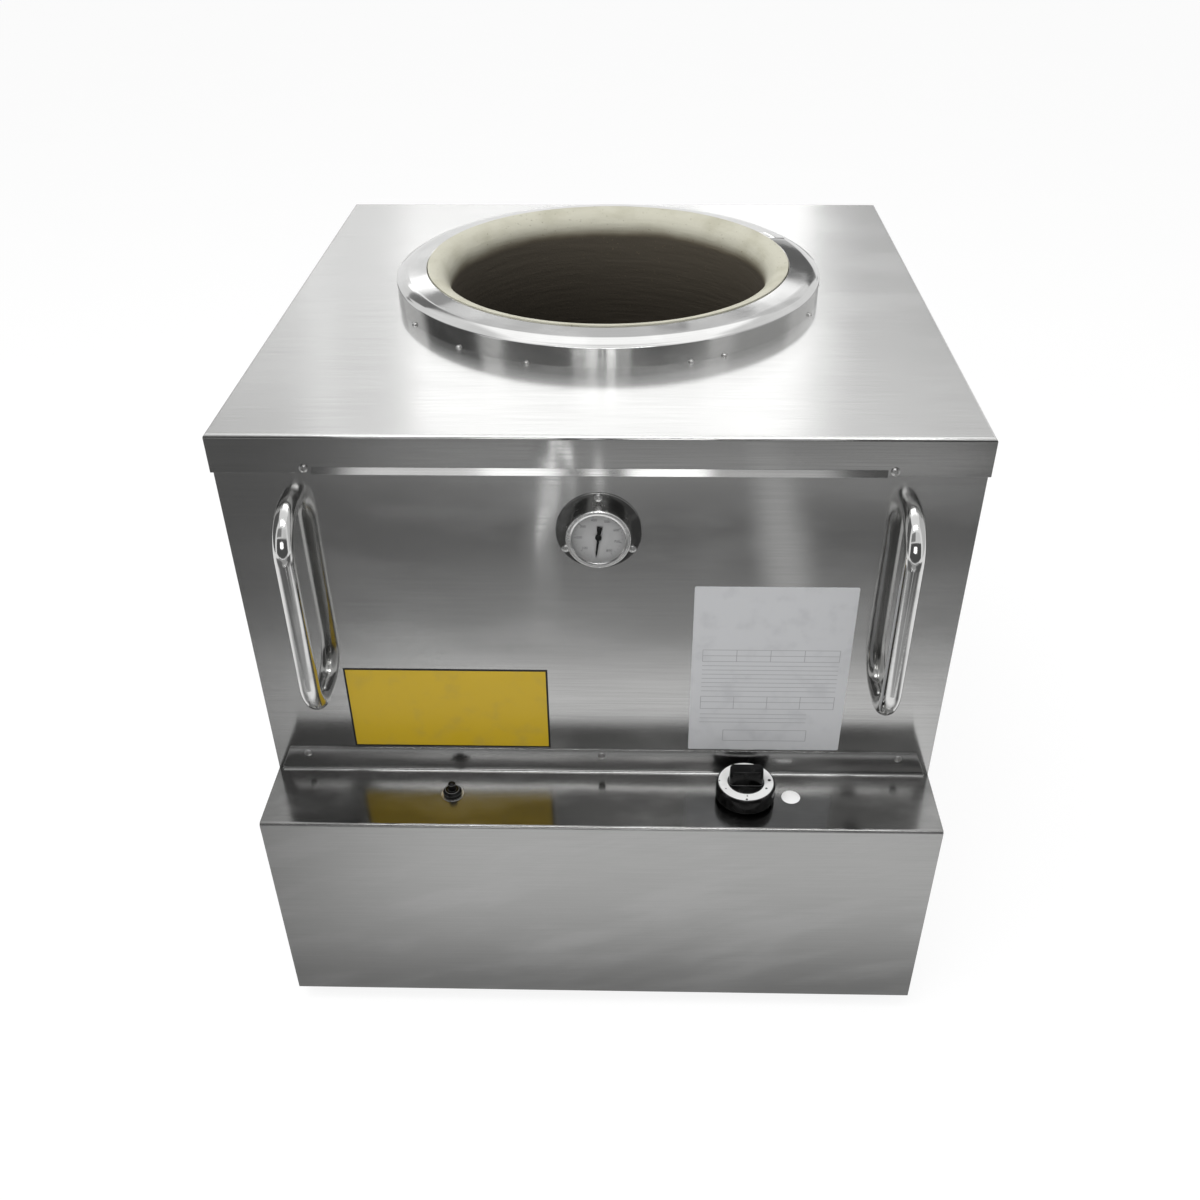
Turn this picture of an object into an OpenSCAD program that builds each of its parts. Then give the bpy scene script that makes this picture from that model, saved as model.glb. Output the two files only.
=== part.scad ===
// Gas-fired clay tandoor oven in a square stainless steel cabinet.
// Millimetres, +Z up, the front faces -Y, and the floor is at Z = 0.
// Modules are written about the cabinet's own centre line; seat() moves them so that the
// whole object, with its control box and its gas inlet, is centred on the origin.

/* [Cabinet] */
// Width of the top pan, left to right
pan_w = 787; // [740:1:860]
// Depth of the top pan, front to back
pan_d = 787; // [770:1:860]
// Depth of the lip that hangs over the cabinet sheets
pan_lip = 42; // [36:1:54]
// Thickness of the top pan
pan_t = 2; // [1.5:0.1:3]
// Gap between the pan's lip and the cabinet sheets
pan_gap = 0.4; // [0.3:0.1:0.8]
// Outer radius of the pan's folded upper edges
pan_bend_r = 4; // [3.2:0.2:7]
// Height of the cabinet, from its lower edge to the pan's upper face
cabinet_h = 735; // [715:1:790]
// Thickness of the cabinet sheets
panel_t = 1.2; // [0.8:0.1:2]
// Height of the drip edge kicked out of the front lip
drip_h = 7; // [4:0.5:9]
// How far the drip edge leans out
drip_out = 3.4; // [2:0.2:5]
// Lip screws, in from the pan's corners
lip_screw_in = 96; // [65:0.5:140]
// Lip screws, below the pan's upper face
lip_screw_drop = 36.5; // [33:0.5:38]

/* [Frame and feet] */
// Leg of the frame angle
angle_leg = 30; // [25:1:36]
// Thickness of the frame angle
angle_t = 3; // [2:0.5:5]
// Thickness of the base tray
tray_t = 1.2; // [1:0.1:2]
// Side of the square tube in the rails and shelf legs
tube_side = 30; // [25:1:35]
// Wall of that square tube
tube_wall = 2; // [1.5:0.1:3]
// Rails and shelf legs, in from the cabinet's left and right sides
rail_in = 131; // [100:1:155]
// Shelf legs, in from the cabinet's front and back
shelf_leg_in = 161; // [110:1:190]
// Height of the foot under the cabinet
foot_h = 25; // [18:1:40]
// Radius of the foot
foot_r = 22; // [16:1:24]
// Thickness of the rubber pad
pad_t = 6; // [4:0.5:9]

/* [Clay pot] */
// Mouth's axis, behind the middle of the cabinet
mouth_back = 39; // [20:1:45]
// Radius of the throat
throat_r = 199; // [185:1:205]
// Outer radius of the lip
lip_r = 226; // [218:1:230]
// Height of the lip over the pan
lip_rise = 34; // [30:1:40]
// Inner radius of the belly
belly_r = 262; // [240:1:275]
// Inner radius of the base
base_r = 215; // [180:1:225]
// Wall at the belly and the base
pot_wall = 40; // [32:1:44]
// Thickness of the pot's floor
pot_floor = 42; // [30:1:55]
// Depth of the belly's widest part below the pan
belly_drop = 300; // [260:1:360]
// Radius of the flame hole in the floor
flame_hole_r = 95; // [80:1:110]
// Height of the shelf's upper face over the cabinet's lower edge
shelf_h = 150; // [142:1:165]
// Thickness of the shelf
shelf_t = 4; // [3:0.5:6]

/* [Collar] */
// Outer radius of the collar ring
collar_r = 265; // [258:1:275]
// Height of the collar's skirt
collar_h = 25.4; // [20:0.2:30]
// Thickness of the collar sheet
collar_t = 2; // [1.5:0.1:2.5]
// Rise of the collar's top from its rim to the clay
collar_rise = 7; // [3:0.5:10]
// Gap between the collar and the clay lip
lip_gap = 1; // [0.5:0.1:2]
// Radius of the rolled rim
bead_r = 2.6; // [2.1:0.1:3]
// Tack welds at the collar's foot
weld_count = 14; // [8:1:20]

/* [Control box] */
// Depth of the box in front of the cabinet
box_d = 97; // [90:1:115]
// Height of the box
box_h = 291.5; // [270:0.5:330]
// Thickness of the box's sheet
box_t = 1.5; // [1:0.1:2]
// Outer radius of its front upper edge
box_bend_r = 4; // [3:0.2:7]
// Height of the upstand on the cabinet
upstand_h = 35; // [28:1:45]
// Slope of the upstand's ends, measured along X
upstand_cut = 15; // [8:1:25]
// Inner bend radius between the control box top and its upstand
upstand_bend_r = 5; // [2:0.5:8]
// Outer screws of the upstand, in from the cabinet's sides
upstand_screw_in = 39.1; // [36.5:0.1:90]
// Controls, in front of the cabinet
control_out = 43; // [40:1:46]

/* [Knob and gas valve] */
// Knob's axis, right of the middle
knob_x = 169; // [150:1:200]
// Radius of the knob's skirt
knob_r = 34.5; // [30:0.5:38]
// Gap under the knob, which also takes its push
knob_gap = 5; // [4.6:0.1:8]
// Height of the skirt with its bevel
skirt_h = 19.5; // [16:0.5:24]
// Height of the bar grip over the skirt
grip_h = 20.5; // [16:0.5:28]
// Thickness of the bar grip
grip_t = 16; // [10:0.5:20]
// Outer radius of the dial ring
dial_out_r = 31.8; // [30:0.2:32]
// Radius of the knob's hub, inside the dial ring
hub_r = 21.5; // [18:0.5:24]
// Push of the knob
knob_push = 4; // [2:0.5:4]
// Radius of the valve stem
stem_r = 4; // [3:0.1:5]
// Radius of the valve plug
plug_r = 8; // [6.5:0.1:9]

/* [Igniter] */
// Igniter's axis, left of the middle
igniter_x = 175; // [160:1:200]
// Radius of the igniter nut
nut_r = 11; // [10:0.2:14]
// Height of the igniter nut
nut_h = 7.5; // [5:0.5:9]
// Radius of the push button
button_r = 4.75; // [4:0.05:5.5]
// Height of the button over the box
button_h = 18; // [16:0.5:22]
// Push of the button
button_push = 6; // [4:0.5:7]

/* [Thermometer] */
// Thermometer's centre, below the pan's upper face
thermo_drop = 108.5; // [95:0.5:130]
// Radius of the flange
flange_r = 45.2; // [42:0.2:50]
// Radius of the case
case_r = 33.8; // [31:0.2:36]
// How far the case stands out from the cabinet
case_out = 19.5; // [17:0.5:25]
// Radius of the glass that shows
glass_r = 28.2; // [26:0.2:29]
// Radius of the flange screws' circle
flange_screw_r = 40.5; // [39.5:0.2:42]
// Length of the needle from its axis to its tip
needle_len = 25; // [18:0.5:26]
// Needle's rest angle, clockwise past straight down
needle_rest = 6.8; // [0:0.2:20]
// Radius of the probe
probe_r = 4; // [3:0.1:5]
// How far the probe reaches into the clay
probe_in = 12; // [6:1:18]

/* [Handles] */
// Handle's axis, in from the cabinet's side
handle_in = 73.1; // [55:0.1:100]
// Upper leg, below the pan's upper face
handle_drop = 76; // [70:1:90]
// Distance between the legs
handle_len = 244; // [200:1:290]
// Axis of the grip, in front of the cabinet
handle_out = 50; // [48:1:65]
// Radius of the tube
handle_r = 11; // [9:0.5:12.5]
// Wall of the tube
handle_wall = 2; // [1.5:0.1:3]
// Bend of the tube, at its axis
handle_bend = 42; // [30:1:44]

/* [Burner] */
// Height of the burner's axis over the cabinet's lower edge
burner_h = 75; // [70:1:82]
// Radius of the burner head
head_r = 70; // [60:1:80]
// Height of the burner head
head_h = 44; // [42:1:50]
// Radius of the burner box
burner_box_r = 165; // [150:1:185]
// Radius of the mixing tube
mixer_r = 19; // [16:0.5:19]
// Length of the mixing tube in front of the pot's axis
mixer_len = 330; // [300:1:340]
// Radius of the flame deflector
deflector_r = 62; // [50:1:75]
// Length of the shutter sleeve
shutter_len = 44; // [40:1:60]
// Opening of the shutter's windows, in degrees
window_deg = 62; // [40:1:70]

/* [Gas line] */
// Radius of the threaded inlet, 3/4 inch pipe
inlet_r = 13.34; // [10.5:0.01:17]
// How far the inlet stands out at the back
inlet_out = 38; // [30:1:60]
// Gas pipe's axis, in from the cabinet's right side
pipe_in = 76.1; // [66:0.1:91]
// Radius of the gas pipe
pipe_r = 10.65; // [8:0.05:10.7]
// Wall of the gas pipe
pipe_wall = 2.6; // [2:0.1:3]
// Radius of the feed pipe to the burner
feed_r = 6.35; // [5:0.05:8]
// Radius of the pilot tube
pilot_tube_r = 2; // [1.5:0.1:3]
// Radius of the thermocouple lead
couple_r = 1.6; // [1:0.1:2.5]
// Radius of the ignition lead
lead_r = 2.5; // [2:0.1:3.5]

/* [Clearances] */
// Running clearance round a shaft or a plunger
run_gap = 0.05; // [0.03:0.01:0.08]
// Clearance of a screw in its hole
hole_gap = 0.2; // [0.1:0.05:0.5]
// Clearance between soft filling and what it wraps
fill_gap = 0.3; // [0.2:0.1:1]

/* [Hidden] */
$fn = 64;

steel = "#c9cbcd";
dull_steel = "#9a9da0";
dark_steel = "#55585b";
black = "#17181a";
clay = "#c5c0a8";
brass_colour = "#b9974f";

// Reach of hidden cuts past a face
cut = 1;

// Cabinet
body_w = pan_w - 2*(pan_t + pan_gap);
body_d = pan_d - 2*(pan_t + pan_gap);
base_z = foot_h;
top_z = base_z + cabinet_h;
face_y = -body_d/2;
in_w = body_w - 2*panel_t;
in_d = body_d - 2*panel_t;
panel_top_z = top_z - pan_t;
sheet_top_z = top_z - pan_bend_r;
box_front_y = face_y - box_d;
inlet_end_y = body_d/2 + inlet_out;
axis_y = -(box_front_y + inlet_end_y)/2;
lip_screw_x = pan_w/2 - lip_screw_in;
lip_screw_y = pan_d/2 - lip_screw_in;
handle_x = body_w/2 - handle_in;

// Frame, tray and shelf
tray_z = base_z + angle_t;
tray_top_z = tray_z + tray_t;
rail_top_z = tray_top_z + tube_side;
shelf_z = base_z + shelf_h;
shelf_under_z = shelf_z - shelf_t;
frame_gap = 0.5;
frame_w = in_w - 2*frame_gap;
frame_d = in_d - 2*frame_gap;
post_w = frame_w - 2*angle_t;
post_d = frame_d - 2*angle_t;
rail_x = body_w/2 - rail_in;
shelf_leg_y = body_d/2 - shelf_leg_in;
shelf_inset = 17;
shelf_w = in_w - 2*shelf_inset;
shelf_d = in_d - 2*shelf_inset;
shelf_hole_r = flame_hole_r + 15;

// Pot, measured down from the pan's upper face
neck_end = 12;
base_drop = top_z - shelf_z;
shoulder_steps = 9;
lower_steps = 9;
pan_hole_r = lip_r + 12;
collar_in_r = lip_r + lip_gap;
collar_top = collar_h + collar_rise;

// Controls
box_top_z = base_z + box_h;
control_y = face_y - control_out;
upstand_inset = 4;

// Gas valve: the body hangs from the box's top by a threaded neck
valve_w = 48;
valve_d = 44;
valve_h = 75;
valve_drop = 15;
valve_top_z = box_top_z - box_t - valve_drop;
valve_bottom_z = valve_top_z - valve_h;
neck_wall = 5.5;
neck_r = stem_r + neck_wall;
neck_out = 2.5;
plug_inset = 15;
plug_low_z = valve_bottom_z + plug_inset;
plug_high_z = valve_top_z - plug_inset;
stem_in = 17;
stem_low_z = plug_high_z - stem_in;
knob_z = box_top_z + knob_gap;
skirt_top_z = knob_z + skirt_h;
knob_recess = 8;
stem_grip = 8;
stem_top_z = knob_z + knob_recess + stem_grip;
dial_t = 1.2;
dial_sink = 0.8;

// Gas line heights and stations
burner_z = base_z + burner_h;
head_low_z = burner_z - head_h/2;
head_top_z = burner_z + head_h/2;
mixer_end_y = mouth_back - mixer_len;
mixer_wall = 3;
mixer_plug_t = 5;
boss_len = 22;
mixer_stop = 4;
port_r = 2;
window_len = 30;
window_back = 12;
feed_drop = 38;
feed_z = valve_top_z - feed_drop;
pilot_rise = 13;
pilot_z = valve_bottom_z + pilot_rise;
pilot_over = 20;
pilot_level = burner_z + pilot_over;
lead_over = 12;
lead_level = pilot_level + lead_over;
pilot_x = -52;
couple_x = -72;
lead_x = -34;
side_step = 12;
pipe_x = body_w/2 - pipe_in;
feed_bend = 25;
feed_wall = 1;
pilot_wall = 0.7;
pipe_bend = 32;
small_bend = 12;
socket_len = 10;
pipe_socket = 11;
nipple_socket = 15;
nipple_in = 25;
locknut_t = 8;
nipple_y = body_d/2 - panel_t - nipple_in;
jet_r = 6;
jet_hex_r = 9.5;
jet_hex_len = 14;
jet_socket = 4;
tip_over = 3;
tip_y = mouth_back - head_r + tip_over;
pilot_block_back = 24;
pilot_block_d = 12;
pilot_margin = 8;
sleeve_len = 36;
sleeve_r = 3;
electrode_len = 44;
electrode_r = 4;

// Igniter
igniter_thread_r = button_r + 3.25;
igniter_case_r = igniter_thread_r + 1.5;
igniter_len = 60;
button_in = 26;
button_low_z = box_top_z - button_in;

// Thermometer
thermo_z = top_z - thermo_drop;
flange_t = 1.6;
case_wall = 1;
dial_gap = 7.5;
bezel_t = 1.2;
glass_t = 1.5;
needle_t = 0.6;
needle_lift = 1.2;
shaft_r = 0.8;
shaft_in = 20;
shaft_grip = 1.6;
hub_out_r = 3.3;

// Screws
screw_r = 2;
screw_head_r = 4.3;
screw_head_h = 2.6;
bolt_r = 4;
insert_len = 14;

function unit(v) = v/norm(v);
function ease(s) = (1 - cos(180*s))/2;
function ease_off(s) = 1 - cos(90*s);

// Radius of a pot surface at a depth under the pan, from its neck, belly and base radii
function pot_r(depth, neck, belly, base) =
    depth <= neck_end ? neck :
    depth <= belly_drop ? neck + (belly - neck)*ease((depth - neck_end)/(belly_drop - neck_end)) :
    belly + (base - belly)*ease_off((depth - belly_drop)/(base_drop - belly_drop));
function outer_r(depth, gap = 0) =
    pot_r(depth, lip_r, belly_r + pot_wall, base_r + pot_wall) + gap;
function inner_r(depth) = pot_r(depth, throat_r, belly_r, base_r);
function shoulder_depths() = [for (i = [0:shoulder_steps])
    neck_end + (belly_drop - neck_end)*i/shoulder_steps];
function lower_depths(last) = [for (i = [1:lower_steps])
    belly_drop + (last - belly_drop)*i/lower_steps];
function reversed(v) = [for (i = [len(v) - 1:-1:0]) v[i]];
function stretched(route, extra) = [for (i = [0:len(route) - 1])
    i == 0 ? route[0] - unit(route[1] - route[0])*extra :
    i == len(route) - 1 ? route[i] + unit(route[i] - route[i - 1])*extra : route[i]];

// Moves a module from the cabinet's centre line to the object's own frame
module seat() translate([0, axis_y, 0]) children();

// Block between two corners
module block(low, high) translate(low) cube(high - low);

// Block centred on X and Y, between two heights
module slab(w, d, low_z, high_z) translate([-w/2, -d/2, low_z]) cube([w, d, high_z - low_z]);

// Round bar between two points
module rod(from, to, r) {
    run = to - from;
    translate(from) rotate([0, acos(run.z/norm(run)), atan2(run.y, run.x)])
        cylinder(h = norm(run), r = r);
}

// Round bar along a route with square corners, each turned with the same bend
module bent_bar(route, r, bend) {
    last = len(route) - 1;
    for (i = [0:last - 1]) {
        dir = unit(route[i + 1] - route[i]);
        rod(route[i] + (i == 0 ? 0 : bend)*dir, route[i + 1] - (i == last - 1 ? 0 : bend)*dir, r);
    }
    for (i = [1:last - 1]) {
        in = unit(route[i] - route[i - 1]);
        out = unit(route[i + 1] - route[i]);
        up = cross(in, out);
        mid = route[i] + bend*(out - in);
        multmatrix([[-out.x, in.x, up.x, mid.x], [-out.y, in.y, up.y, mid.y],
            [-out.z, in.z, up.z, mid.z]])
            rotate_extrude(angle = 90) translate([bend, 0]) circle(r = r);
    }
}

// Round tube along such a route, open at both ends
module bent_tube(route, r, wall, bend) difference() {
    bent_bar(route, r, bend);
    bent_bar(stretched(route, cut), r - wall, bend);
}

// Cap whose four upper edges are folded over, with its upper face at Z = 0
module folded_cap(w, d, h, r) intersection() {
    translate([0, d/2, 0]) rotate([90, 0, 0]) linear_extrude(d) folded_profile(w, h, r);
    translate([-w/2, 0, 0]) rotate([90, 0, 90]) linear_extrude(w) folded_profile(d, h, r);
}

module folded_profile(w, h, r) {
    translate([-w/2, -h]) square([w, h - r]);
    translate([-w/2 + r, -h]) square([w - 2*r, h]);
    for (side = [-1, 1]) translate([side*(w/2 - r), -r]) circle(r = r);
}

// Square frame of angle steel; the flat leg lies at the lower or the upper end
module angle_frame(low_z, flat_up) difference() {
    slab(frame_w, frame_d, low_z, low_z + angle_leg);
    slab(post_w, post_d, low_z + (flat_up ? -cut : angle_t),
        low_z + angle_leg + (flat_up ? -angle_t : cut));
    slab(frame_w - 2*angle_leg, frame_d - 2*angle_leg, low_z - cut, low_z + angle_leg + cut);
}

// Round-ended slot cut along Y, standing up
module slot_y(x, low_z, high_z, r, from_y, to_y) {
    block([x - r, from_y, low_z], [x + r, to_y, high_z]);
    for (z = [low_z, high_z]) rod([x, from_y, z], [x, to_y, z], r);
}

// Pan-head screw with a cross recess; its head sits on Z = 0 and its shank points down
module pan_screw(shank) {
    difference() {
        intersection() {
            cylinder(h = screw_head_h, r = screw_head_r);
            translate([0, 0, screw_head_h - 2*screw_head_r]) sphere(r = 2*screw_head_r);
        }
        for (turn = [0, 90]) rotate(turn)
            translate([-screw_head_r*0.55, -0.5, screw_head_h - 1.2])
                cube([screw_head_r*1.1, 1, 2]);
    }
    translate([0, 0, -shank]) cylinder(h = shank, r = screw_r);
}

// Places a screw's or a disc's axis along -Y, with its foot on the plane at y
module facing_front(x, y, z) translate([x, y, z]) rotate([90, 0, 0]) children();

// ---- Top pan, collar and clay pot ----

module lip_screw_places() {
    for (turn = [0, 180], side = [-1, 1]) rotate(turn)
        facing_front(side*lip_screw_x, -pan_d/2, top_z - lip_screw_drop) children();
    for (turn = [90, 270], side = [-1, 1]) rotate(turn)
        facing_front(side*lip_screw_y, -pan_w/2, top_z - lip_screw_drop) children();
}

module top_pan() seat() color(steel) {
    drip_half = lip_screw_x - screw_head_r - 3;
    difference() {
        translate([0, 0, top_z]) folded_cap(pan_w, pan_d, pan_lip, pan_bend_r);
        translate([0, 0, panel_top_z])
            folded_cap(pan_w - 2*pan_t, pan_d - 2*pan_t, pan_lip, pan_bend_r - pan_t);
        translate([0, mouth_back, panel_top_z - cut]) cylinder(h = pan_t + 2*cut, r = pan_hole_r);
        lip_screw_places() translate([0, 0, -pan_t - cut])
            cylinder(h = pan_t + 2*cut, r = screw_r + hole_gap);
        block([-drip_half, -pan_d/2 - cut, top_z - pan_lip - cut],
            [drip_half, -pan_d/2 + pan_t + pan_gap/2, top_z - pan_lip + drip_h]);
    }
    translate([-drip_half, -pan_d/2, top_z - pan_lip]) rotate([90, 0, 90])
        linear_extrude(2*drip_half)
            polygon([[0, drip_h], [-drip_out, 0], [pan_t - drip_out, 0], [pan_t, drip_h]]);
}

module collar_ring() seat() color(steel) {
    shoulder_r = collar_r - bead_r;
    translate([0, mouth_back, top_z]) rotate_extrude() {
        translate([collar_r - collar_t, 0]) square([collar_t, collar_h - bead_r]);
        translate([shoulder_r + 0.5, collar_h - bead_r]) circle(r = bead_r);
        polygon([[shoulder_r, collar_h], [collar_in_r, collar_top], [collar_in_r, collar_top - 6],
            [collar_in_r + collar_t, collar_top - 6],
            [collar_in_r + collar_t, collar_top - collar_t - 0.4],
            [shoulder_r, collar_h - collar_t]]);
    }
}

module collar_welds() seat() color(dull_steel) {
    weld_r = 3.2;
    for (i = [0:weld_count - 1]) translate([0, mouth_back, top_z])
        rotate((i + 0.35*sin(140*i))*360/weld_count) translate([collar_r, 0, 0]) intersection() {
            translate([0.6, 0, 0]) sphere(r = weld_r);
            block([0, -2*weld_r, 0], [2*weld_r, 2*weld_r, 2*weld_r]);
        }
}

module neck_seal() seat() color("#e6e3da")
    translate([0, mouth_back, top_z]) difference() {
        cylinder(h = collar_h - 2*bead_r - 1, r = collar_r - collar_t - fill_gap);
        translate([0, 0, -cut])
            cylinder(h = collar_h + 2*cut, r = collar_in_r + collar_t + fill_gap);
    }

module clay_pot() seat() color(clay) {
    lip_round = lip_r - throat_r;
    lip_steps = 8;
    floor_drop = base_drop - pot_floor;
    outer = [for (d = concat(shoulder_depths(), lower_depths(base_drop))) [outer_r(d), -d]];
    inner = [for (d = concat(shoulder_depths(), lower_depths(floor_drop))) [inner_r(d), -d]];
    lip = [for (i = [0:lip_steps])
        [lip_r - lip_round*sin(90*i/lip_steps), lip_rise - lip_round*(1 - cos(90*i/lip_steps))]];
    difference() {
        translate([0, mouth_back, top_z]) rotate_extrude()
            polygon(concat(reversed(outer), lip, inner,
                [[flame_hole_r, -floor_drop], [flame_hole_r, -base_drop]]));
        facing_front(0, probe_tip_y() + fill_gap, thermo_z)
            cylinder(h = 2*pot_wall, r = probe_r + fill_gap);
    }
}

function probe_tip_y() = mouth_back - outer_r(thermo_drop) + probe_in;

module insulation_fill() seat() color("#e8e4d2") {
    panel_clear = 17;
    frame_clear = angle_leg + 3;
    cavity = [for (d = concat(shoulder_depths(), lower_depths(base_drop)))
        [outer_r(d, fill_gap), -d]];
    difference() {
        union() {
            slab(in_w - 2*panel_clear, in_d - 2*panel_clear, shelf_z,
                panel_top_z - angle_leg - fill_gap);
            slab(in_w - 2*frame_clear, in_d - 2*frame_clear, shelf_z, panel_top_z - fill_gap);
        }
        translate([0, mouth_back, top_z]) rotate_extrude()
            polygon(concat([[0, 0], [0, -base_drop - cut],
                [outer_r(base_drop, fill_gap), -base_drop - cut]], reversed(cavity),
                [[lip_r + fill_gap, 0]]));
        facing_front(0, mouth_back, thermo_z) cylinder(h = body_d, r = probe_r + fill_gap);
    }
}

// ---- Cabinet sheets ----

module front_panel() seat() color(dull_steel) difference() {
    block([-body_w/2, face_y, base_z], [body_w/2, face_y + panel_t, sheet_top_z]);
    facing_front(0, face_y + panel_t + cut, thermo_z)
        cylinder(h = panel_t + 2*cut, r = probe_r + hole_gap);
    flange_screw_places() translate([0, 0, -flange_t - panel_t - cut])
        cylinder(h = flange_t + panel_t + 2*cut, r = screw_r + hole_gap);
    upstand_screw_places() translate([0, 0, -panel_t - box_t - cut])
        cylinder(h = panel_t + box_t + 2*cut, r = screw_r + hole_gap);
    for (side = [-1, 1]) lip_hole(side*lip_screw_x, face_y);
    handle_leg_places() translate([0, 0, -panel_t - cut])
        cylinder(h = panel_t + 2*cut, r = bolt_r + hole_gap);
    facing_front(pipe_x, face_y + panel_t + cut, burner_z)
        cylinder(h = panel_t + 2*cut, r = pipe_r + 2);
    facing_front(0, face_y + panel_t + cut, burner_z)
        cylinder(h = panel_t + 2*cut, r = feed_r + 2);
    tube_slot(face_y - cut, face_y + panel_t + cut);
}

module lip_hole(x, y) translate([x, y + panel_t/2, top_z - lip_screw_drop])
    rotate([90, 0, 0]) cylinder(h = panel_t + 2*cut, r = screw_r + hole_gap, center = true);

// Pass-through for the pilot tube, the thermocouple and the ignition lead
module tube_slot(from_y, to_y) {
    r = (lead_level - pilot_level)/2 + 8;
    z = (lead_level + pilot_level)/2;
    block([couple_x, from_y, z - r], [lead_x, to_y, z + r]);
    for (x = [couple_x, lead_x]) rod([x, from_y, z], [x, to_y, z], r);
}

module side_panel(side) seat() color(dull_steel) difference() {
    translate([side*(body_w - panel_t)/2, 0, 0]) slab(panel_t, in_d, base_z, sheet_top_z);
    for (end = [-1, 1])
        translate([side*(body_w - panel_t)/2, end*lip_screw_y, top_z - lip_screw_drop])
        rotate([0, 90, 0]) cylinder(h = panel_t + 2*cut, r = screw_r + hole_gap, center = true);
}

module left_panel() side_panel(-1);
module right_panel() side_panel(1);

module rear_panel() seat() color(dull_steel) {
    vent_count = 9;
    vent_pitch = 42;
    vent_r = 4;
    vent_len = 60;
    vent_low_z = rail_top_z + 8;
    back_y = body_d/2 - panel_t;
    difference() {
        block([-body_w/2, back_y, base_z], [body_w/2, back_y + panel_t, sheet_top_z]);
        for (side = [-1, 1]) lip_hole(side*lip_screw_x, back_y);
        facing_front(pipe_x, back_y + panel_t + cut, burner_z)
            cylinder(h = panel_t + 2*cut, r = inlet_r + hole_gap);
        for (i = [0:vent_count - 1])
            slot_y((i - (vent_count - 1)/2)*vent_pitch, vent_low_z, vent_low_z + vent_len,
                vent_r, back_y - cut, back_y + panel_t + cut);
    }
}

// ---- Frame, shelf and feet ----

module top_frame() seat() color(dark_steel) angle_frame(panel_top_z - angle_leg, true);

module base_frame() seat() color(dark_steel) angle_frame(base_z, false);

module corner_posts() seat() color(dark_steel)
    for (sx = [-1, 1], sy = [-1, 1]) scale([sx, sy, 1])
        translate([post_w/2 - angle_leg, post_d/2 - angle_leg, tray_top_z]) {
            post_h = panel_top_z - angle_t - tray_top_z;
            difference() {
                cube([angle_leg, angle_leg, post_h]);
                translate([-cut, -cut, -cut])
                    cube([angle_leg - angle_t + cut, angle_leg - angle_t + cut, post_h + 2*cut]);
            }
        }

module base_tray() seat() color(dull_steel) {
    vent_r = 5;
    vent_margin = 8;
    vent_in = 28;
    vent_from = head_r + vent_margin;
    vent_to = burner_box_r - vent_in;
    difference() {
        slab(post_w - 1, post_d - 1, tray_z, tray_top_z);
        translate([0, mouth_back, tray_z - cut]) for (i = [0:11]) rotate(15 + 30*i) {
            translate([-vent_r, vent_from, 0])
                cube([2*vent_r, vent_to - vent_from, tray_t + 2*cut]);
            for (y = [vent_from, vent_to]) translate([0, y, 0])
                cylinder(h = tray_t + 2*cut, r = vent_r);
        }
    }
}

module square_tube(x, y, low_z, length, upright) translate([x, y, low_z]) difference() {
    if (upright) slab(tube_side, tube_side, 0, length);
    else slab(tube_side, length, 0, tube_side);
    inside = tube_side - 2*tube_wall;
    if (upright) slab(inside, inside, -cut, length + cut);
    else translate([0, 0, tube_wall]) slab(inside, length + 2*cut, 0, inside);
}

module base_rails() seat() color(dark_steel)
    for (side = [-1, 1]) square_tube(side*rail_x, 0, tray_top_z, post_d - 4, false);

module shelf_legs() seat() color(dark_steel)
    for (side = [-1, 1], end = [-1, 1])
        square_tube(side*rail_x, end*shelf_leg_y, rail_top_z, shelf_under_z - rail_top_z, true);

module pot_shelf() seat() color(dark_steel) difference() {
    slab(shelf_w, shelf_d, shelf_under_z, shelf_z);
    translate([0, mouth_back, shelf_under_z - cut]) cylinder(h = shelf_t + 2*cut, r = shelf_hole_r);
}

module foot_places() for (sx = [-1, 1], sy = [-1, 1])
    translate([sx*(in_w/2 - foot_r - 2), sy*(in_d/2 - foot_r - 2), 0]) children();

module feet() seat() color(dark_steel) foot_places() translate([0, 0, pad_t]) {
    cup_h = (foot_h - pad_t)*0.6;
    cylinder(h = cup_h, r1 = foot_r, r2 = foot_r*0.8);
    translate([0, 0, cup_h]) cylinder(h = foot_h - pad_t - cup_h, r = foot_r*0.55);
}

module foot_pads() seat() color(black) foot_places() cylinder(h = pad_t, r = foot_r);

// ---- Burner ----

module burner_box() seat() color(dull_steel) {
    wall = 1.2;
    air_r = 7;
    translate([0, mouth_back, 0]) difference() {
        translate([0, 0, tray_top_z])
            cylinder(h = shelf_under_z - tray_top_z, r = burner_box_r);
        translate([0, 0, tray_top_z - cut])
            cylinder(h = shelf_h, r = burner_box_r - wall);
        for (i = [0:11]) rotate(15 + 30*i)
            rod([0, 0, tray_top_z + 14], [0, burner_box_r + cut, tray_top_z + 14], air_r);
        rod([0, 0, burner_z], [0, -burner_box_r - cut, burner_z], mixer_r + 4);
        translate([0, -mouth_back, 0])
            tube_slot(mouth_back - burner_box_r - cut, mouth_back - burner_box_r/2);
    }
}

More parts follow.
